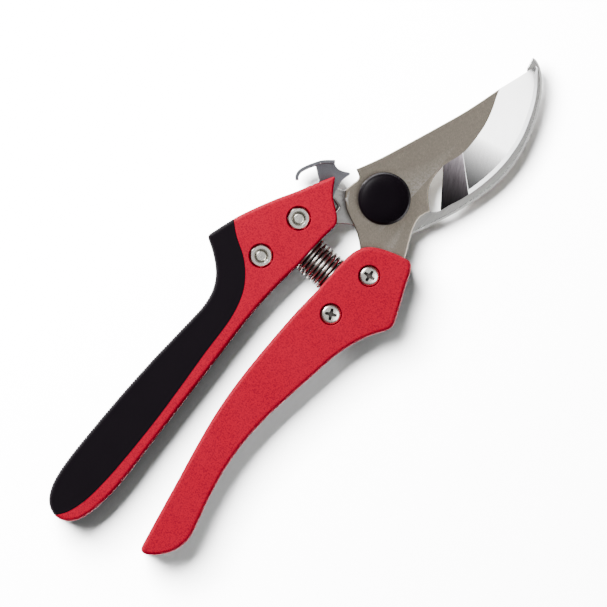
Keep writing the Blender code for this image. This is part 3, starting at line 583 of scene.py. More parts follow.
def shared_group(name, inputs, outputs, fill):
    """A shader node group that is made once. inputs gives the default of each number put in, outputs names
    what comes out, and fill adds the nodes and gives the values of the outputs in the same order."""
    if name in bpy.data.node_groups:
        return bpy.data.node_groups[name]
    group = bpy.data.node_groups.new(name, "ShaderNodeTree")
    for label, default in inputs.items():
        socket = group.interface.new_socket(name=label, in_out="INPUT", socket_type="NodeSocketFloat")
        socket.default_value = default
    for label in outputs:
        kind = "NodeSocketVector" if label == "Normal" else "NodeSocketFloat"
        group.interface.new_socket(name=label, in_out="OUTPUT", socket_type=kind)
    tree = Tree(group)
    given = tree.add("NodeGroupInput").outputs
    out = tree.add("NodeGroupOutput")
    for label, value in zip(outputs, fill(tree, given)):
        group.links.new(value, out.inputs[label])
    return group


def millimetres(tree):
    """Object coordinates in millimetres."""
    source = tree.add("ShaderNodeTexCoord").outputs["Object"]
    return tree.add("ShaderNodeVectorMath", {0: source, 3: 1000.0}, operation="SCALE").outputs[0]


def coat_group():
    """A textured coat: fine lumps, darker specks between them, and slow changes of shade."""

    def fill(tree, given):
        place = millimetres(tree)
        frequency = tree.math("DIVIDE", 1.0, given["Grain size"])
        lumps = tree.noise(place, frequency, 4.0, 0.62)
        values = {"Vector": place, "Scale": frequency, "Randomness": 1.0}
        cells = tree.add("ShaderNodeTexVoronoi", values, feature="F1").outputs["Distance"]
        height = tree.math("ADD", tree.math("MULTIPLY", lumps, 0.75), tree.math("MULTIPLY", cells, -0.25))
        bump = tree.add("ShaderNodeBump", {"Strength": 0.8, "Distance": given["Depth"], "Height": height})
        return tree.ramp(lumps, 0.36, 0.56, 1.0, 0.0), tree.noise(place, 0.09, 2.0), bump.outputs[0]

    inputs = {"Grain size": 0.55, "Depth": 0.00006}
    return shared_group("Textured coat", inputs, ("Speck", "Shade", "Normal"), fill)


def brushed_group():
    """Brushed metal: fine lines drawn out along one direction, with a cloudy change over longer distances."""

    def fill(tree, given):
        place = millimetres(tree)
        turned_by = tree.add("ShaderNodeCombineXYZ", {"Z": given["Turn"]}).outputs[0]
        values = {"Vector": place, "Rotation": turned_by}
        turned = tree.add("ShaderNodeVectorRotate", values, rotation_type="EULER_XYZ").outputs[0]
        sizes = {"X": given["Line spacing"], "Y": given["Line length"], "Z": given["Line spacing"]}
        stretch = tree.add("ShaderNodeCombineXYZ", sizes).outputs[0]
        drawn = tree.add("ShaderNodeVectorMath", {0: turned, 1: stretch}, operation="DIVIDE").outputs[0]
        lines = tree.noise(drawn, 1.0, 4.0, 0.7)
        bump = tree.add("ShaderNodeBump", {"Strength": 1.0, "Distance": given["Depth"], "Height": lines})
        return lines, tree.noise(place, 0.12, 3.0), bump.outputs[0]

    inputs = {"Turn": 0.0, "Line spacing": 0.12, "Line length": 8.0, "Depth": 0.00001}
    return shared_group("Brushed metal", inputs, ("Lines", "Cloud", "Normal"), fill)


def grain_group():
    """A fine even grain for moulded and blasted surfaces, with specks of dust."""

    def fill(tree, given):
        place = millimetres(tree)
        grain = tree.noise(place, tree.math("DIVIDE", 1.0, given["Grain size"]), 5.0, 0.65)
        cloud = tree.noise(place, 0.15, 3.0)
        dust = tree.ramp(tree.noise(place, 1.7, 6.0, 0.7), 0.66, 0.74)
        bump = tree.add("ShaderNodeBump", {"Strength": 1.0, "Distance": given["Depth"], "Height": grain})
        return grain, cloud, dust, bump.outputs[0]

    inputs = {"Grain size": 0.3, "Depth": 0.00002}
    return shared_group("Fine grain", inputs, ("Grain", "Cloud", "Dust", "Normal"), fill)


def edge_mask_group():
    """A mask of the outer edges of a piece, found by pointiness and broken up by noise."""

    def fill(tree, given):
        sharp = tree.add("ShaderNodeNewGeometry").outputs["Pointiness"]
        edge = tree.ramp(sharp, given["Low"], given["High"])
        broken = tree.ramp(tree.noise(millimetres(tree), 1.3, 4.0, 0.7), 0.35, 0.6)
        return (tree.math("MULTIPLY", edge, broken),)

    return shared_group("Edge mask", {"Low": 0.52, "High": 0.6}, ("Edge",), fill)


def start_material(name):
    """A new material with its nodes cleared but for a Principled shader and the output."""
    material = bpy.data.materials.new(name)
    material.use_nodes = True
    material.node_tree.nodes.clear()
    tree = Tree(material.node_tree)
    shader = tree.add("ShaderNodeBsdfPrincipled")
    output = tree.add("ShaderNodeOutputMaterial")
    tree.tree.links.new(shader.outputs[0], output.inputs["Surface"])
    return material, tree, shader


def use_group(tree, group, values):
    """A group node with some of its inputs set."""
    node = tree.tree.nodes.new("ShaderNodeGroup")
    node.node_tree = group
    for key, value in values.items():
        node.inputs[key].default_value = value
    return node.outputs


def set_shader(tree, shader, **values):
    """Link or set the sockets of a shader; underscores in the names stand for spaces."""
    for key, value in values.items():
        socket = shader.inputs[key.replace("_", " ")]
        if isinstance(value, bpy.types.NodeSocket):
            tree.tree.links.new(value, socket)
        elif isinstance(value, (tuple, list)) and len(value) == 3:
            socket.default_value = (*value, 1.0)
        else:
            socket.default_value = value


def coat_material(name, colour):
    """The handles' coat: red with darker specks, and slightly paler on its outer edges."""
    material, tree, shader = start_material(name)
    coat = use_group(tree, coat_group(), {"Grain size": 0.48, "Depth": 0.00004})
    edge = use_group(tree, edge_mask_group(), {"Low": 0.53, "High": 0.66})["Edge"]
    dark = tuple(part * share for part, share in zip(colour, (0.6, 1.0, 0.82)))
    pale = tuple(part + more for part, more in zip(colour, (0.12, 0.012, 0.02)))
    body = tree.mix(coat["Speck"], colour, dark)
    body = tree.mix(tree.ramp(coat["Shade"], 0.35, 0.65, 0.0, 0.12), body, pale)
    body = tree.mix(tree.math("MULTIPLY", edge, 0.35), body, pale)
    rough = tree.ramp(coat["Speck"], 0.0, 1.0, 0.42, 0.6)
    set_shader(tree, shader, Base_Color=body, Roughness=rough, Normal=coat["Normal"], Specular_IOR_Level=0.1)
    return material


def moulded_material(name, colour, rough, grain, depth, gloss=0.2):
    """Moulded plastic or rubber: a fine grain, slow changes of gloss, and a little dust."""
    material, tree, shader = start_material(name)
    fine = use_group(tree, grain_group(), {"Grain size": grain, "Depth": depth})
    light = tuple(part * 1.7 for part in colour)
    dusty = tuple(part + 0.04 for part in colour)
    body = tree.mix(tree.ramp(fine["Grain"], 0.3, 0.7, 0.0, 0.35), colour, light)
    body = tree.mix(tree.math("MULTIPLY", fine["Dust"], 0.2), body, dusty)
    roughness = tree.ramp(fine["Cloud"], 0.3, 0.7, rough - 0.05, rough + 0.05)
    set_shader(tree, shader, Base_Color=body, Roughness=roughness, Normal=fine["Normal"],
               Specular_IOR_Level=gloss)
    return material


def metal_material(name, colour, rough, turn=0.0, spacing=0.12, length=8.0, depth=0.000006, contrast=0.25,
                   grain=0.0):
    """Ground or plated metal: brushed lines that change its shade and gloss, cloudy changes of shade, and
    brighter edges. Where a grain size is given, a fine grain takes the place of the lines' relief."""
    material, tree, shader = start_material(name)
    values = {"Turn": turn, "Line spacing": spacing, "Line length": length, "Depth": depth}
    lines = use_group(tree, brushed_group(), values)
    edge = use_group(tree, edge_mask_group(), {"Low": 0.53, "High": 0.62})["Edge"]
    dark = tuple(part * (1 - contrast) for part in colour)
    light = tuple(min(1.0, part * (1 + contrast * 0.6)) for part in colour)
    clouded = tuple(part * 0.86 for part in colour)
    body = tree.mix(tree.ramp(lines["Lines"], 0.3, 0.7), dark, light)
    body = tree.mix(tree.ramp(lines["Cloud"], 0.3, 0.7, 0.0, 0.35), body, clouded)
    normal = lines["Normal"]
    if grain:
        fine = use_group(tree, grain_group(), {"Grain size": grain, "Depth": 0.00002})
        pitted = tuple(part * 0.7 for part in colour)
        body = tree.mix(tree.ramp(fine["Grain"], 0.35, 0.65, 0.0, 0.5), body, pitted)
        normal = fine["Normal"]
    body = tree.mix(tree.math("MULTIPLY", edge, 0.5), body, (0.9, 0.89, 0.87))
    roughness = tree.ramp(lines["Lines"], 0.25, 0.75, rough * 0.85, min(1.0, rough * 1.2))
    set_shader(tree, shader, Base_Color=body, Metallic=1.0, Roughness=roughness, Normal=normal)
    return material


MATERIALS = {}
METAL_PIECES = []
COATED_PIECES = ("upper_handle_coated", "lower_handle_coated")
MIDDLE = (0.003, -0.045, 0.0)
BLADE_LOOKS = ("steel", "bevel", "keen", "heel")
# Painted shade on the blade's bevel and heel facet: the way it runs, its fall per millimetre, and where it
# starts on each
PAINTED_SHADE_WAY = (-0.25, 1.0)
PAINTED_SHADE_RATE = 0.216
BEVEL_PAINTED_SHADE_END = 35.0
HEEL_PAINTED_SHADE_END = 32.0
SEEN_WIDTH = 0.2066
SEEN_CENTRE = (0.0034, -0.0449)
SEEN_HEIGHT = 0.012


def paint_shade_towards_heel(material, end):
    """Paint shade into a ground finish towards the heel of the blade, in place of the reflection that falls
    off there: the colour falls by the same share for each millimetre travelled away from the tip, from an
    end point on."""
    tree = Tree(material.node_tree)
    shader = next(node for node in material.node_tree.nodes if node.type == "BSDF_PRINCIPLED")
    colour = shader.inputs["Base Color"].links[0].from_socket
    travel = tree.add(
        "ShaderNodeVectorMath", {0: millimetres(tree), 1: (*PAINTED_SHADE_WAY, 0.0)}, operation="DOT_PRODUCT"
    ).outputs["Value"]
    short = tree.math("MINIMUM", tree.math("SUBTRACT", travel, end), 0.0)
    share = tree.math("POWER", math.e, tree.math("MULTIPLY", short, PAINTED_SHADE_RATE))
    material.node_tree.links.new(tree.mix(1.0, colour, share, "MULTIPLY"), shader.inputs["Base Color"])


def make_materials(settings):
    """Every material of the shears, by name."""
    grip = tuple(settings.grip_colour)
    steel = tuple(settings.steel_colour)
    MATERIALS.update(
        coat=coat_material("Coated red", tuple(settings.coat_colour)),
        grip=moulded_material("Soft black", grip, 0.6, 0.35, 0.00002, gloss=0.1),
        cap=moulded_material("Gloss black", (0.005, 0.003, 0.005), 0.42, 0.6, 0.000006, gloss=0.08),
        post=moulded_material("Moulded black", (0.012, 0.012, 0.013), 0.5, 0.4, 0.00002),
        steel=metal_material("Satin steel", steel, 0.38, turn=-0.35, spacing=0.22, length=0.9,
                             contrast=0.35, grain=0.6),
        bevel=metal_material("Polished bevel with painted shade", (0.92, 0.915, 0.905), 0.24, turn=-0.67, spacing=0.5,
                             length=40.0, contrast=0.2, depth=0.000003),
        keen=metal_material("Keen edge", (0.97, 0.97, 0.98), 0.36, turn=0.4, spacing=0.1, length=3.0,
                            contrast=0.05),
        heel=metal_material("Ground heel with painted shade", (0.80, 0.70, 0.76), 0.3, turn=-0.67, spacing=0.7,
                            length=40.0, contrast=0.45, depth=0.000004),
        counter=metal_material("Counter steel", (0.35, 0.345, 0.335), 0.42, grain=0.6, contrast=0.35),
        # A paler copy of the steel for the crest of the counter blade's bevel: a painted highlight
        line=metal_material("Painted highlight line", (0.95, 0.95, 0.95), 0.25, contrast=0.1),
        latch=metal_material("Latch sheet", (0.155, 0.155, 0.172), 0.4, turn=0.8, spacing=0.25,
                             length=1.0, grain=0.4, contrast=0.12),
        plated=metal_material("Plated hardware", (0.72, 0.70, 0.64), 0.26, spacing=0.2, length=1.2,
                              contrast=0.3),
        wire=metal_material("Spring wire", (0.36, 0.33, 0.31), 0.2, spacing=0.1, length=4.0),
        bronze=metal_material("Turned bronze", (0.60, 0.45, 0.22), 0.35, contrast=0.2),
        # Painted shadow for the walls of the screws' crossed recesses
        recess=metal_material("Recess shadow", (0.10, 0.09, 0.085), 0.5, contrast=0.2),
    )
    # Painted shade: the bevel and the heel facet darken in colour towards the heel, in place of a reflection
    # that falls off
    paint_shade_towards_heel(MATERIALS["bevel"], BEVEL_PAINTED_SHADE_END)
    paint_shade_towards_heel(MATERIALS["heel"], HEEL_PAINTED_SHADE_END)


# --------------------------------------------------------------------------------------------------
# Pieces


def hole_cutter(centre, radius, floor, mouth):
    """A round hole with a small rounded lip, between its floor and the face that it opens in."""
    rise = 1.0 if mouth > floor else -1.0
    profile = [
        (radius - 0.02, floor),
        (radius, floor + rise * 0.02),
        (radius, mouth - rise * 0.22),
        (radius + 0.06, mouth - rise * 0.08),
        (radius + 0.2, mouth + rise * 0.02),
        (radius + 1.0, mouth + rise * 0.8),
    ]
    if rise < 0:
        profile = profile[::-1]
    return lathe("hole", profile, [], centre, around=56)


def grown_loop(stretches, distance):
    """The plan of a plate, grown all round."""
    loop, _ = loop_of([(points, 0.0) for points in stretches], 0.8, 0.3)
    return loop + outward(loop) * distance


def blade_stretches(edge):
    """The outline of the cutting blade, with one edge radius."""
    sharp = (BLADE_TIP_SPINE, BLADE_TIP, CUTTING_EDGE[::-1], (CUTTING_EDGE[0], BLADE_NECK[0]))
    blunt = (BLADE_NECK, BLADE_TANG, NOTCH_LOW, NOTCH_HIGH)
    return [(BLADE_SPINE, edge)] + [(part, 0.03) for part in sharp] + [(part, edge) for part in blunt]


def seat_cutters(face_x, inward):
    """The round seat of the return spring and the bore of its post, as turned cutters laid along X. inward
    is the direction in X from the face into the handle."""
    made = []
    for profile in (
        [(7.0, -1.0), (7.0, -0.3), (7.15, -0.06), (7.5, 0.2), (9.0, 1.6)],
        [(2.7, -3.8), (2.7, 0.5)],
    ):
        placed = [(radius, -inward * height) for radius, height in profile]
        if inward > 0:
            placed = placed[::-1]
        cutter = lathe("seat", placed, [], around=64)
        lay_along_x(cutter, face_x, SPRING_Y, span("lower_handle")[1] / 2)
        made.append(cutter)
    return made


def cut_handle(handle, screws, tang, tang_span, seat_x, inward, back_radius, front_radius, top):
    """Cut the tang slot, the spring seat, the screw seats and the screw holes out of a handle."""
    low, high = tang_span
    cutters = [prism("slot", tang, low - CLEARANCE, high + CLEARANCE), *seat_cutters(seat_x, inward)]
    for centre in screws:
        cutters.append(bore(centre, SCREW_HOLE_RADIUS, -1.0, top + 1.0))
        cutters.append(hole_cutter(centre, back_radius, SEAT_DEPTH, 0.0))
        cutters.append(hole_cutter(centre, front_radius, top - SEAT_DEPTH, top))
    cut(handle, cutters)
    shade(handle, 32)


def whole_upper_handle(name, edge, ribs=None):
    """The upper handle before its grip is parted from it. ribs gives the pitch and depth of the ribs along
    the palm side: the wall is sunk there by a raised cosine of the length along it, faded out at both
    ends."""
    top = span("lower_handle")[1]
    radii = (edge, edge, edge * 0.7, edge * 0.7, edge * 0.6)
    loop, radius = loop_of(list(zip(UPPER_HANDLE, radii)), 0.4 if ribs is None else 0.16, 0.9)
    relief = None
    if ribs is not None:
        pitch, depth = ribs
        steps = np.linalg.norm(np.roll(loop, -1, axis=0) - loop, axis=1)
        length = np.concatenate([[0], np.cumsum(steps)[:-1]])
        x, y = loop.T
        start, end = RIBS_Y
        fade = np.clip((start - y) / RIB_FADE, 0, 1) * np.clip((y - end) / RIB_FADE, 0, 1) * (x < PALM_X)
        relief = depth * fade * (0.5 - 0.5 * np.cos(2 * math.pi * length / pitch))
    return skin(name, plate_rings(loop, radius, 0.0, top, 8, relief), [], smooth_angle=40)


def coated_side(gap):
    """A loop round the coated side of the upper handle that ends at the seam of the grip, moved towards
    the grip by a gap."""
    seam = curve(GRIP_SEAM, 8)
    seam = seam + np.array([-gap, -gap * 0.2])
    far = [(seam[-1][0], -170.0), (20.0, -170.0), (20.0, 10.0), (-60.0, 10.0), (-60.0, -20.0)]
    return np.vstack([seam, far])


def build_upper_handle(settings):
    """The coated core of the upper handle with the rib that carries the grip."""
    top = span("lower_handle")[1]
    core = whole_upper_handle("upper_handle_coated", settings.edge_radius / MM)
    core.data.materials.append(MATERIALS["coat"])
    cut(core, prism("coated side", coated_side(0.0), -1.0, top + 1.0), "INTERSECT")
    cut(core, prism("rib", grown_loop(GRIP_RIB, 0.0), *RIB_SPAN), "UNION")
    low, high = span("counter_blade")
    cut(core, prism("pocket", LATCH_POCKET, high, span("latch_pin")[1] + CLEARANCE))
    tang = grown_loop(COUNTER_OUTLINE, CLEARANCE)
    cut_handle(core, UPPER_SCREWS, tang, (low, high), SPRING_FACES[0], -1, HEAD_SEAT_RADIUS,
               NUT_SEAT_RADIUS, top)
    finish_piece(core, "shears", ["upper_handle"])


def build_lower_handle(settings):
    """The coated lower handle."""
    top = span("lower_handle")[1]
    edge = settings.edge_radius / MM
    stretches = [(LOWER_EDGE, edge), ((LOWER_EDGE[-1], LOWER_EDGE[0]), edge * 0.6)]
    lower = plate("lower_handle_coated", stretches, 0.0, top, [MATERIALS["coat"]], soften=0.9, segments=8)
    tang = grown_loop([points for points, _ in blade_stretches(0.0)], CLEARANCE)
    cut_handle(lower, LOWER_SCREWS, tang, span("cutting_blade"), SPRING_FACES[1], 1, NUT_SEAT_RADIUS,
               HEAD_SEAT_RADIUS, top)
    finish_piece(lower, "cutter", ["lower_handle"])


def build_grip(settings):
    """The soft grip, parted from the same shape as the handle, with fine ribs along the palm side."""
    top = span("lower_handle")[1]
    ribs = (settings.rib_pitch / MM, settings.rib_depth / MM)
    grip = whole_upper_handle("soft_grip_moulded", settings.edge_radius / MM, ribs)
    grip.data.materials.append(MATERIALS["grip"])
    cut(grip, prism("grip seam", coated_side(SEAM_GAP), -1.0, top + 1.0))
    cut(grip, prism("channel", grown_loop(GRIP_RIB, CLEARANCE), *RIB_CHANNEL_SPAN))
    shade(grip, 40)
    finish_piece(grip, "shears", ["soft_grip"])


def build_cutting_blade():
    """The cutting blade: a satin plate with its grinding taken off and its holes bored."""
    low, high = span("cutting_blade")
    looks = [MATERIALS[name] for name in BLADE_LOOKS]
    blade = plate("cutting_blade_ground", blade_stretches(0.45), low, high, looks, spacing=0.3, soften=0.2,
                  segments=5)
    cut(blade, grind_cutter(low, high))
    holes = [bore((0.0, 0.0), BUSH_HOLE_RADIUS, low - 1, high + 1)]
    cut(blade, holes + [bore(centre, SCREW_HOLE_RADIUS, low - 1, high + 1) for centre in LOWER_SCREWS])
    close_holes(blade.data)
    shade(blade, 24)
    finish_piece(blade, "cutter", ["cutting_blade"])


def grind_cutter(low, high):
    """The block that the grinding takes away, standing on the bevel and reaching above the blade. Each row
    runs from a point of the grind line to the point at the same share of the cutting edge. It falls in
    a straight line from full thickness, or less towards the tip, and sags by a sine of the share
    across. A narrow bevel follows the cutting edge, and the heel has rows of its own."""
    heel_rows, main_rows = 60, 130
    heel_steps = 3 * SAMPLES_PER_SEGMENT - 8
    grind, edge_line = curve(BLADE_GRIND), curve(CUTTING_EDGE)
    heel_end = 2 * SAMPLES_PER_SEGMENT + 6
    inner_main = np.vstack([grind[heel_end:-1], curve(BLADE_TIP_SPINE)])
    inner = np.vstack([resampled(grind[: heel_end + 1], heel_rows), resampled(inner_main, main_rows)[1:]])
    edge = np.vstack([resampled(edge_line[: heel_steps + 1], heel_rows),
                      resampled(edge_line[heel_steps:], main_rows)[1:]])
    tip_share = np.clip((inner[:, 1] - TIP_START) / TIP_LENGTH, 0, 1)
    inner_height = high + (low + 1.0 - high) * tip_share
    edge_height = low + EDGE_THICKNESS
    across = edge - inner
    width = np.linalg.norm(across, axis=1)
    unit = across / width[:, None]
    keen = np.minimum(KEEN_WIDTH, width * 0.4)
    keen_height = edge_height + KEEN_SLOPE * keen
    slope = (inner_height - keen_height) / (width - keen)
    columns = [np.column_stack([inner - unit * 0.6, inner_height + slope * 0.6])]
    for share in np.linspace(0, 1, 9):
        sag = GRIND_SAG * math.sin(math.pi * share) * np.clip(width / 10, 0, 1)
        place = inner + unit * ((width - keen) * share)[:, None]
        columns.append(np.column_stack([place, inner_height + (keen_height - inner_height) * share - sag]))
    columns.append(np.column_stack([edge, np.full(len(edge), edge_height)]))
    columns.append(np.column_stack([edge + unit * 2.0, np.full(len(edge), edge_height - 0.6)]))
    grid = np.stack(columns, axis=1)
    before = (grid[0] - grid[1]).mean(axis=0) * 0.15
    beyond = np.array([0.1, 1.0, 0.0]) * 1.5
    grid = np.concatenate([(grid[0] + before)[None], grid, (grid[-1] + beyond)[None]])
    rows, cols = grid.shape[:2]
    lid = grid.copy()
    lid[:, :, 2] = high + 4.0
    points = np.vstack([grid.reshape(-1, 3), lid.reshape(-1, 3)])
    shift = rows * cols
    a = (np.arange(rows - 1)[:, None] * cols + np.arange(cols - 1)[None, :]).reshape(-1)
    floor_faces = np.column_stack([a, a + 1, a + 1 + cols, a + cols])
    lid_faces = floor_faces[:, ::-1] + shift
    row, col = np.divmod(np.arange(len(a)), cols - 1)
    main = row >= heel_rows
    # The last heel row takes the keen finish, which has no painted shade, as a painted highlight line across the
    # bevel where the heel facet ends
    look = np.where(((col >= cols - 3) & main) | (row == heel_rows - 1), 2, np.where(main, 1, 3))
    rim = np.concatenate([
        np.arange(rows) * cols, (rows - 1) * cols + np.arange(1, cols),
        np.arange(rows - 2, -1, -1) * cols + cols - 1, np.arange(cols - 2, 0, -1),
    ])
    ahead = np.roll(rim, -1)
    sides = np.column_stack([rim, ahead, ahead + shift, rim + shift])
    faces = np.vstack([floor_faces, lid_faces, sides]).tolist()
    indices = np.concatenate([look, np.zeros(len(lid_faces) + len(sides), int)])
    looks = [MATERIALS[name] for name in BLADE_LOOKS]
    made = make_object("grinding", points, faces, looks, indices)
    if volume_of(made.data) < 0:
        made.data.flip_normals()
    return made


def build_counter_blade():
    """The counter blade: a grained plate whose back edge has a narrow bevel, with a painted highlight along its
    crest in a paler copy of the steel. On each ring the outline is moved in by a share of the edge size and
    lifted to a share of it."""
    low, high = span("counter_blade")
    loop, size = loop_of(list(zip(COUNTER_OUTLINE, COUNTER_EDGES)), 0.3, 0.3)
    size, room = fitted(loop, size)
    level = np.zeros(len(loop))
    loops = inset_loops(loop, size, [0.0, 0.3, 0.76, 1.0])
    loops += inset_loops(loop, np.minimum(size + 0.3, 0.93 * room), [1.0])
    rings = [
        np.column_stack([loops[1], level + low]), np.column_stack([loops[0], low + size * 0.3]),
        np.column_stack([loops[0], high - size * 0.7]), np.column_stack([loops[2], high - size * 0.12]),
        np.column_stack([loops[3], level + high]), np.column_stack([loops[4], level + high]),
    ]
    blade = skin("counter_blade_hooked", rings, [MATERIALS["counter"], MATERIALS["line"]], [0, 0, 0, 1, 0])
    holes = [bore((0.0, 0.0), BOLT_HOLE_RADIUS, low - 1, high + 1)]
    holes.append(bore(LATCH_PIVOT, PIN_HOLE_RADIUS, low - 1, high + 1))
    cut(blade, holes + [bore(centre, SCREW_HOLE_RADIUS, low - 1, high + 1) for centre in UPPER_SCREWS])
    shade(blade, 22)
    finish_piece(blade, "shears", ["counter_blade"])


def build_cap():
    """The pivot cap: a shallow dome whose height falls with the second and fifth powers of the radius,
    running into a rim that turns down as a quarter ellipse, and hollow below for the head of the bolt."""
    low, high = span("pivot_cap")
    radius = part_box("pivot_cap")[1].x / MM
    rise = high - low
    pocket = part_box("pivot_bolt")[1].x / MM + CLEARANCE
    ceiling = span("pivot_bolt")[1] + CLEARANCE
    dome = [
        (radius * share, high - rise * (0.3 * share**5 + 0.05 * share**2))
        for share in np.linspace(0.02, 0.88, 28)
    ]
    edge_radius, edge_height = dome[-1]
    turns = np.linspace(math.pi / 2, 0.12, 12)
    drop = edge_height - low - 1.6
    rim = [
        (edge_radius + (radius - edge_radius) * math.sin(turn), edge_height - drop * (1 - math.cos(turn)))
        for turn in turns
    ]
    wall = [(0.2, ceiling), (pocket, ceiling), (pocket, low + 0.1), (pocket + 0.1, low), (radius - 0.25, low),
            (radius - 0.05, low + 0.1), (radius, low + 0.35)]
    cap = lathe("pivot_cap_domed", wall + rim + dome[::-1], [MATERIALS["cap"]], around=128, smooth_angle=40)
    finish_piece(cap, "shears", ["pivot_cap"])


def hexagon_radius(angle, across_flats, turn):
    """Distance from the centre to the side of a hexagon in each direction: half the size across its flats
    over the cosine of the angle to the middle of the nearest side."""
    local = (angle - turn + math.pi / 6) % (math.pi / 3) - math.pi / 6
    return across_flats / 2 / np.cos(local)


def nut(name, centre, low, high, across_flats, hole, turn):
    """A hexagon nut: rings from the hole over the chamfered underside, up the flats, over the chamfered
    top and down the hole. Towards a corner a ring of the flats is moved to mid height by the slope of
    the chamfer, which draws the curved edge of a real nut."""
    angle = np.linspace(0, 2 * math.pi, NUT_POINTS, endpoint=False) + turn
    side = hexagon_radius(angle, across_flats, turn)
    crown = across_flats / 2 * 0.965
    drop = (side - crown) * math.tan(math.radians(32))
    direction = np.column_stack([np.cos(angle), np.sin(angle)])
    under = [(hole + 0.35, low), (crown, low), (side - 0.05, low + drop), (side, low + drop + 0.06)]
    over = [(side, high - drop - 0.06), (side - 0.05, high - drop), (crown, high), (crown - 0.12, high + 0.01)]
    inside = [(hole + 0.4, high), (hole + 0.3, high - 0.06), (hole, high - 0.4), (hole, low + 0.4)]
    rings = [
        np.column_stack([np.array(centre) + direction * np.reshape(radius, (-1, 1)), height + 0 * angle])
        for radius, height in under + over + inside
    ]
    return skin(name, rings, [MATERIALS["plated"]], closed=True, smooth_angle=24)


def cross_cutter(centre, outer, inward, turn):
    """The crossed recess of a screw: a four-armed plan that narrows towards its floor."""
    arm, half = 2.1, 0.58
    plan = []
    for quarter in range(4):
        spin = turn + quarter * math.pi / 2
        for x, y in ((half, -half), (arm, -half * 0.8), (arm, half * 0.8)):
            plan.append((x * math.cos(spin) - y * math.sin(spin), x * math.sin(spin) + y * math.cos(spin)))
    plan = np.array(plan)
    levels = ((outer + inward * 1.15, 0.5), (outer + inward * 0.6, 0.86), (outer - inward * 0.4, 1.08))
    if inward > 0:
        levels = levels[::-1]
    rings = [
        np.column_stack([plan * scale + np.array(centre), np.full(len(plan), height)])
        for height, scale in levels
    ]
    return skin("recess", rings, [])


def screw(name, centre, low, high, head_on_front, turn):
    """A machine screw: a low domed head with a crossed recess, a shank, and a chamfered end with thread
    rings. Heights are taken from the underside of the head, and the dome falls with the second and
    eighth powers of the radius."""
    head, shank, tall = 3.45, 2.0, 1.9
    end = -(high - low - tall)
    outline = [(shank * 0.1, end + 0.04), (shank - 0.55, end), (shank - 0.3, end + 0.14)]
    for step in range(4):
        height = end + 0.55 + step * 0.5
        outline += [(shank - 0.16, height - 0.12), (shank, height + 0.08), (shank, height + 0.16)]
    outline += [(shank, -0.1), (head - 0.1, 0.0), (head, 0.05), (head, tall * 0.42), (head * 0.985, tall * 0.5)]
    shares = np.linspace(0.04, 0.96, 14)[::-1]
    outline += [(head * share, tall * (1 - 0.16 * share**2 - 0.3 * share**8)) for share in shares]
    if head_on_front:
        placed = [(radius, high - tall + height) for radius, height in outline]
    else:
        placed = [(radius, low + tall - height) for radius, height in outline][::-1]
    # The walls of the crossed recess take the dark Recess shadow finish: painted shadow
    looks = [MATERIALS["plated"], MATERIALS["recess"]]
    made = lathe(name, placed, looks, centre, around=64, smooth_angle=30)
    outer, inward = (high, -1) if head_on_front else (low, 1)
    cutter = cross_cutter(centre, outer, inward, turn)
    for look in looks:
        cutter.data.materials.append(look)
    cutter.data.polygons.foreach_set("material_index", np.ones(len(cutter.data.polygons), np.int32))
    cut(made, cutter)
    shade(made, 30)
    return made


def build_fixings():
    """The screws and nuts of both handles, and the pivot nut. Each is turned by its own amount."""
    turns = iter((0.21, 0.9, 1.7, 0.5))
    sides = (("upper", UPPER_SCREWS, False, "shears"), ("lower", LOWER_SCREWS, True, "cutter"))
    for side, centres, on_front, body in sides:
        for place, centre in zip(("front", "rear"), centres):
            turn = next(turns)
            name = f"{side}_screw_{place}"
            made = screw(f"{name}_turned", centre, *span(name), on_front, turn)
            finish_piece(made, body, [name])
            name = f"{side}_nut_{place}"
            made = nut(f"{name}_hex", centre, *span(name), *SMALL_NUT, turn * 0.7 + 0.1)
            finish_piece(made, body, [name])
    made = nut("pivot_nut_hex", (0.0, 0.0), *span("pivot_nut"), *PIVOT_NUT, 0.2)
    finish_piece(made, "shears", ["pivot_nut"])


def build_latch():
    """The thumb latch: a bent sheet, as a flat plate joined to an upright strip whose inner side runs
    beside its outer side at the sheet's thickness, and the small wire spring beside it."""
    tab_low, tab_high = span("thumb_latch")
    middle = (tab_low + tab_high) / 2
    sheet = [MATERIALS["latch"]]
    stretches = [(part, 0.15) for part in LATCH_PLATE]
    latch = plate("thumb_latch_sheet", stretches, middle - 0.8, middle + 0.8, sheet, spacing=0.2, soften=0.15,
                  segments=4)
    face = resampled(curve(LATCH_TAB), 90)
    along = np.gradient(face, axis=0)
    along /= np.linalg.norm(along, axis=1, keepdims=True)
    inside = face + np.column_stack([-along[:, 1], along[:, 0]]) * TAB_THICKNESS
    ends = ((tuple(face[-1]), tuple(inside[-1])), (tuple(inside[0]), tuple(face[0])))
    strip = [(part, 0.2) for part in (face, ends[0], inside[::-1], ends[1])]
    tab = plate("tab", strip, tab_low, tab_high, sheet, spacing=0.15, soften=0.15, segments=4)
    cut(latch, tab, "UNION")
    cut(latch, bore(LATCH_PIVOT, LATCH_HOLE_RADIUS, middle - 2, middle + 2))
    shade(latch, 30)
    finish_piece(latch, "latch", ["thumb_latch"])
    path = curve(LATCH_WIRE, 12)
    path = np.column_stack([path, np.full(len(path), middle)])
    spring = wire("latch_spring_wire", path, 0.4, [MATERIALS["wire"]])
    finish_piece(spring, "shears", ["latch_spring"])


def spring_post(name, face, inward, body, middle):
    """A post on the face of a handle, as a turned profile laid along X."""
    profile = SPRING_POST if inward > 0 else [(radius, -height) for radius, height in SPRING_POST][::-1]
    post = lathe(f"{name}_moulded", profile, [MATERIALS["post"]], around=48)
    lay_along_x(post, face, SPRING_Y, middle)
    finish_piece(post, body, [name])


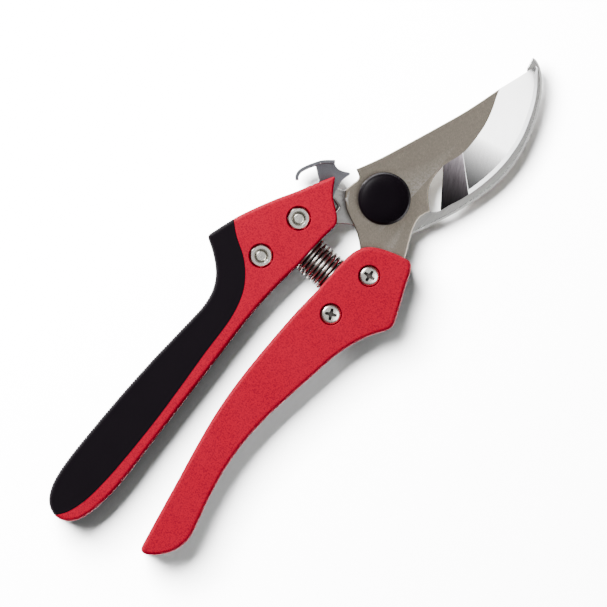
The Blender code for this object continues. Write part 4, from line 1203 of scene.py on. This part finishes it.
def build_return_spring(settings):
    """The return spring: a helix along X that closes up at both ends, with a post in each end. The height
    round the coil is the sine of the turn angle, and the distance along it runs slower near both ends."""
    low_z, high_z = span("lower_handle")
    middle = (low_z + high_z) / 2
    radius = COIL_RADIUS - WIRE_RADIUS
    start = SPRING_FACES[0] - COIL_INSET + WIRE_RADIUS
    end = SPRING_FACES[1] + COIL_INSET - WIRE_RADIUS
    turns = settings.spring_turns
    turn = np.linspace(0, 1, int(turns * 60)) * turns
    pace = np.clip(turn / 0.6, 0.35, 1) * np.clip((turns - turn) / 0.6, 0.35, 1)
    travel = np.concatenate([[0], np.cumsum((pace[1:] + pace[:-1]) / 2)])
    travel /= travel[-1]
    angle = 2 * math.pi * turn
    path = np.column_stack([
        start + (end - start) * travel,
        SPRING_Y + radius * np.cos(angle),
        middle + radius * np.sin(angle),
    ])
    coil = wire("return_spring_coil", path, WIRE_RADIUS, [MATERIALS["wire"]], around=16)
    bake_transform(coil)
    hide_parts("return_spring")
    note_metal(coil)
    spring_post("upper_spring_post", SPRING_FACES[0], 1, "shears", middle)
    spring_post("lower_spring_post", SPRING_FACES[1], -1, "cutter", middle)


def dress_nodes():
    """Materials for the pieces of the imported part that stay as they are."""
    looks = {"pivot_bolt": "plated", "pivot_bush": "bronze", "pivot_washer": "plated", "latch_pin": "plated"}
    for name, look in looks.items():
        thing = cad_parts[name]
        thing.data.materials.clear()
        thing.data.materials.append(MATERIALS[look])
        note_metal(thing)


# --------------------------------------------------------------------------------------------------
# Stage


def area_light(name, place, size, radiance, only=None):
    """A square soft light at a place, turned to the middle of the shears. radiance is the brightness of its
    face. only names the objects that it lights, where it lights no others."""
    light = bpy.data.lights.new(name, "AREA")
    light.shape = "SQUARE"
    light.size = size
    light.energy = 4 * size * size * radiance
    thing = bpy.data.objects.new(name, light)
    thing.location = place
    thing.rotation_euler = (Vector(MIDDLE) - Vector(place)).to_track_quat("-Z", "Y").to_euler()
    bpy.context.scene.collection.objects.link(thing)
    if only:
        lit = bpy.data.collections.new(f"{name} lights")
        for other in only:
            lit.objects.link(other)
        thing.light_linking.receiver_collection = lit


def build_floor():
    """A pale floor of eight by eight squares under the shears. Like the coated handles, it is hidden from
    diffuse bounces, so that its shadow stays neutral."""
    count = 9
    side = np.linspace(-3.0, 3.0, count) / MM
    x, y = np.meshgrid(side, side)
    points = np.column_stack([x.ravel(), y.ravel(), np.full(count * count, -0.25)])
    first = (np.arange(count - 1)[:, None] * count + np.arange(count - 1)[None, :]).reshape(-1)
    faces = np.column_stack([first, first + 1, first + 1 + count, first + count]).tolist()
    material, tree, shader = start_material("Pale floor")
    fine = use_group(tree, grain_group(), {"Grain size": 0.6, "Depth": 0.000002})
    body = tree.mix(tree.ramp(fine["Grain"], 0.3, 0.7), (0.9, 0.9, 0.9), (0.91, 0.91, 0.91))
    set_shader(tree, shader, Base_Color=body, Roughness=0.9, Specular_IOR_Level=0.0)
    floor = make_object("floor", points, faces, [material])
    for thing in [floor, *(bpy.data.objects[name] for name in COATED_PIECES)]:
        thing.visible_diffuse = False
    return floor


def build_sky(settings):
    """An even pale sky, with a brightness of its own where the camera sees it."""
    world = bpy.data.worlds.new("Pale sky")
    bpy.context.scene.world = world
    world.use_nodes = True
    sky = Tree(world.node_tree)
    world.node_tree.nodes.clear()
    seen = sky.add("ShaderNodeLightPath").outputs["Is Camera Ray"]
    strength = sky.ramp(seen, 0.0, 1.0, settings.sky_strength, settings.backdrop)
    background = sky.add("ShaderNodeBackground", {"Color": (1.0, 1.0, 1.0, 1.0), "Strength": strength})
    output = sky.add("ShaderNodeOutputWorld")
    world.node_tree.links.new(background.outputs[0], output.inputs["Surface"])


def place_camera():
    """A long lens straight above the shears. Its height is the focal length over the width of the sensor,
    times the width to be seen."""
    camera = bpy.data.cameras.new("Camera")
    camera.lens = 400
    camera.clip_end = 20
    thing = bpy.data.objects.new("Camera", camera)
    height = camera.lens / camera.sensor_width * SEEN_WIDTH
    thing.location = (*SEEN_CENTRE, height + SEEN_HEIGHT)
    thing.rotation_euler = (0.0, 0.0, math.radians(42))
    bpy.context.scene.collection.objects.link(thing)
    bpy.context.scene.camera = thing


def build_stage(settings):
    """A pale floor with a soft light of its own, a soft light from the left, weaker soft cards for the
    metal, an even pale sky and the camera straight above."""
    floor = build_floor()
    build_sky(settings)
    area_light("Key", (-0.62, 0.0, 0.46), 0.35, settings.key_radiance)
    area_light("Floor light", (-0.46, 0.0, 0.68), 0.5, settings.floor_radiance, [floor])
    metals = [bpy.data.objects[name] for name in METAL_PIECES]
    area_light("Overhead card", (0.0, -0.04, 1.0), 1.3, settings.overhead_radiance, metals)
    area_light("Bevel card", (0.43, 0.16, 0.9), 0.52, settings.bevel_radiance, metals)
    place_camera()


# --------------------------------------------------------------------------------------------------
# Add-on


class ShearsSettings(bpy.types.PropertyGroup):
    """Values that the operators read."""

    edge_radius: FloatProperty(
        name="Edge radius", description="Rounding of the handles' edges", default=0.0013, unit="LENGTH")
    rib_pitch: FloatProperty(
        name="Rib pitch", description="Distance between ribs of the grip", default=0.001, unit="LENGTH")
    rib_depth: FloatProperty(
        name="Rib depth", description="Depth of the ribs of the grip", default=0.0002, unit="LENGTH")
    spring_turns: FloatProperty(name="Spring turns", description="Turns of the return spring", default=7.5)
    coat_colour: FloatVectorProperty(
        name="Coat colour", description="Colour of the handles' coat", subtype="COLOR",
        default=(0.64, 0.0035, 0.034))
    grip_colour: FloatVectorProperty(
        name="Grip colour", description="Colour of the soft grip", subtype="COLOR",
        default=(0.006, 0.0035, 0.006))
    steel_colour: FloatVectorProperty(
        name="Steel colour", description="Colour of the satin steel", subtype="COLOR",
        default=(0.210, 0.184, 0.151))
    sky_strength: FloatProperty(name="Sky strength", description="Strength of the even light", default=0.15)
    backdrop: FloatProperty(
        name="Backdrop", description="Brightness of the sky as seen past the floor", default=10.0)
    key_radiance: FloatProperty(name="Key", description="Brightness of the main light's face", default=24.0)
    floor_radiance: FloatProperty(
        name="Floor light", description="Brightness of the floor's light", default=140.0)
    overhead_radiance: FloatProperty(
        name="Overhead card", description="Brightness of the large card", default=0.45)
    bevel_radiance: FloatProperty(name="Bevel card", description="Brightness of the card that the bevel mirrors",
                                  default=5.0)


class SHEARS_OT_materials(bpy.types.Operator):
    """Make every material of the shears."""

    bl_idname = "shears.materials"
    bl_label = "Materials"

    def execute(self, context):
        make_materials(context.scene.shears_settings)
        return {"FINISHED"}


class SHEARS_OT_upper_handle(bpy.types.Operator):
    """Build the coated core of the upper handle."""

    bl_idname = "shears.upper_handle"
    bl_label = "Upper handle"

    def execute(self, context):
        build_upper_handle(context.scene.shears_settings)
        return {"FINISHED"}


class SHEARS_OT_soft_grip(bpy.types.Operator):
    """Build the soft grip of the upper handle."""

    bl_idname = "shears.soft_grip"
    bl_label = "Soft grip"

    def execute(self, context):
        build_grip(context.scene.shears_settings)
        return {"FINISHED"}


class SHEARS_OT_lower_handle(bpy.types.Operator):
    """Build the coated lower handle."""

    bl_idname = "shears.lower_handle"
    bl_label = "Lower handle"

    def execute(self, context):
        build_lower_handle(context.scene.shears_settings)
        return {"FINISHED"}


class SHEARS_OT_cutting_blade(bpy.types.Operator):
    """Build the ground cutting blade."""

    bl_idname = "shears.cutting_blade"
    bl_label = "Cutting blade"

    def execute(self, context):
        build_cutting_blade()
        return {"FINISHED"}


class SHEARS_OT_counter_blade(bpy.types.Operator):
    """Build the hooked counter blade."""

    bl_idname = "shears.counter_blade"
    bl_label = "Counter blade"

    def execute(self, context):
        build_counter_blade()
        return {"FINISHED"}


class SHEARS_OT_pivot_cap(bpy.types.Operator):
    """Build the domed cap of the pivot."""

    bl_idname = "shears.pivot_cap"
    bl_label = "Pivot cap"

    def execute(self, context):
        build_cap()
        return {"FINISHED"}


class SHEARS_OT_fixings(bpy.types.Operator):
    """Build the screws and nuts of the handles and the pivot nut."""

    bl_idname = "shears.fixings"
    bl_label = "Screws and nuts"

    def execute(self, context):
        build_fixings()
        return {"FINISHED"}


class SHEARS_OT_thumb_latch(bpy.types.Operator):
    """Build the thumb latch and its wire spring."""

    bl_idname = "shears.thumb_latch"
    bl_label = "Thumb latch"

    def execute(self, context):
        build_latch()
        return {"FINISHED"}


class SHEARS_OT_return_spring(bpy.types.Operator):
    """Build the return spring and its posts."""

    bl_idname = "shears.return_spring"
    bl_label = "Return spring"

    def execute(self, context):
        build_return_spring(context.scene.shears_settings)
        return {"FINISHED"}


class SHEARS_OT_turned_parts(bpy.types.Operator):
    """Give the turned parts of the pivot and the latch their finish."""

    bl_idname = "shears.turned_parts"
    bl_label = "Turned parts"

    def execute(self, context):
        dress_nodes()
        return {"FINISHED"}


class SHEARS_OT_stage(bpy.types.Operator):
    """Build the floor, the lights and the camera."""

    bl_idname = "shears.stage"
    bl_label = "Stage"

    def execute(self, context):
        build_stage(context.scene.shears_settings)
        return {"FINISHED"}


OPERATORS = (
    SHEARS_OT_materials,
    SHEARS_OT_upper_handle,
    SHEARS_OT_soft_grip,
    SHEARS_OT_lower_handle,
    SHEARS_OT_cutting_blade,
    SHEARS_OT_counter_blade,
    SHEARS_OT_pivot_cap,
    SHEARS_OT_fixings,
    SHEARS_OT_thumb_latch,
    SHEARS_OT_return_spring,
    SHEARS_OT_turned_parts,
    SHEARS_OT_stage,
)


class SHEARS_PT_panel(bpy.types.Panel):
    """The steps in order, as buttons."""

    bl_label = "Pruning shears"
    bl_idname = "SHEARS_PT_panel"
    bl_space_type = "VIEW_3D"
    bl_region_type = "UI"
    bl_category = "Shears"

    def draw(self, context):
        for item in OPERATORS:
            self.layout.operator(item.bl_idname)


CLASSES = (ShearsSettings, *OPERATORS, SHEARS_PT_panel)


def register():
    """Add the classes and the scene's settings."""
    for item in CLASSES:
        bpy.utils.register_class(item)
    bpy.types.Scene.shears_settings = PointerProperty(type=ShearsSettings)


def unregister():
    """Take the classes and the scene's settings away."""
    del bpy.types.Scene.shears_settings
    for item in reversed(CLASSES):
        bpy.utils.unregister_class(item)


def write_sizes():
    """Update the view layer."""
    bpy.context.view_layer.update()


def main():
    """Register the add-on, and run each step."""
    register()
    for item in OPERATORS:
        getattr(bpy.ops.shears, item.bl_idname.split(".")[1])()
    write_sizes()


if __name__ == "__main__":
    main()
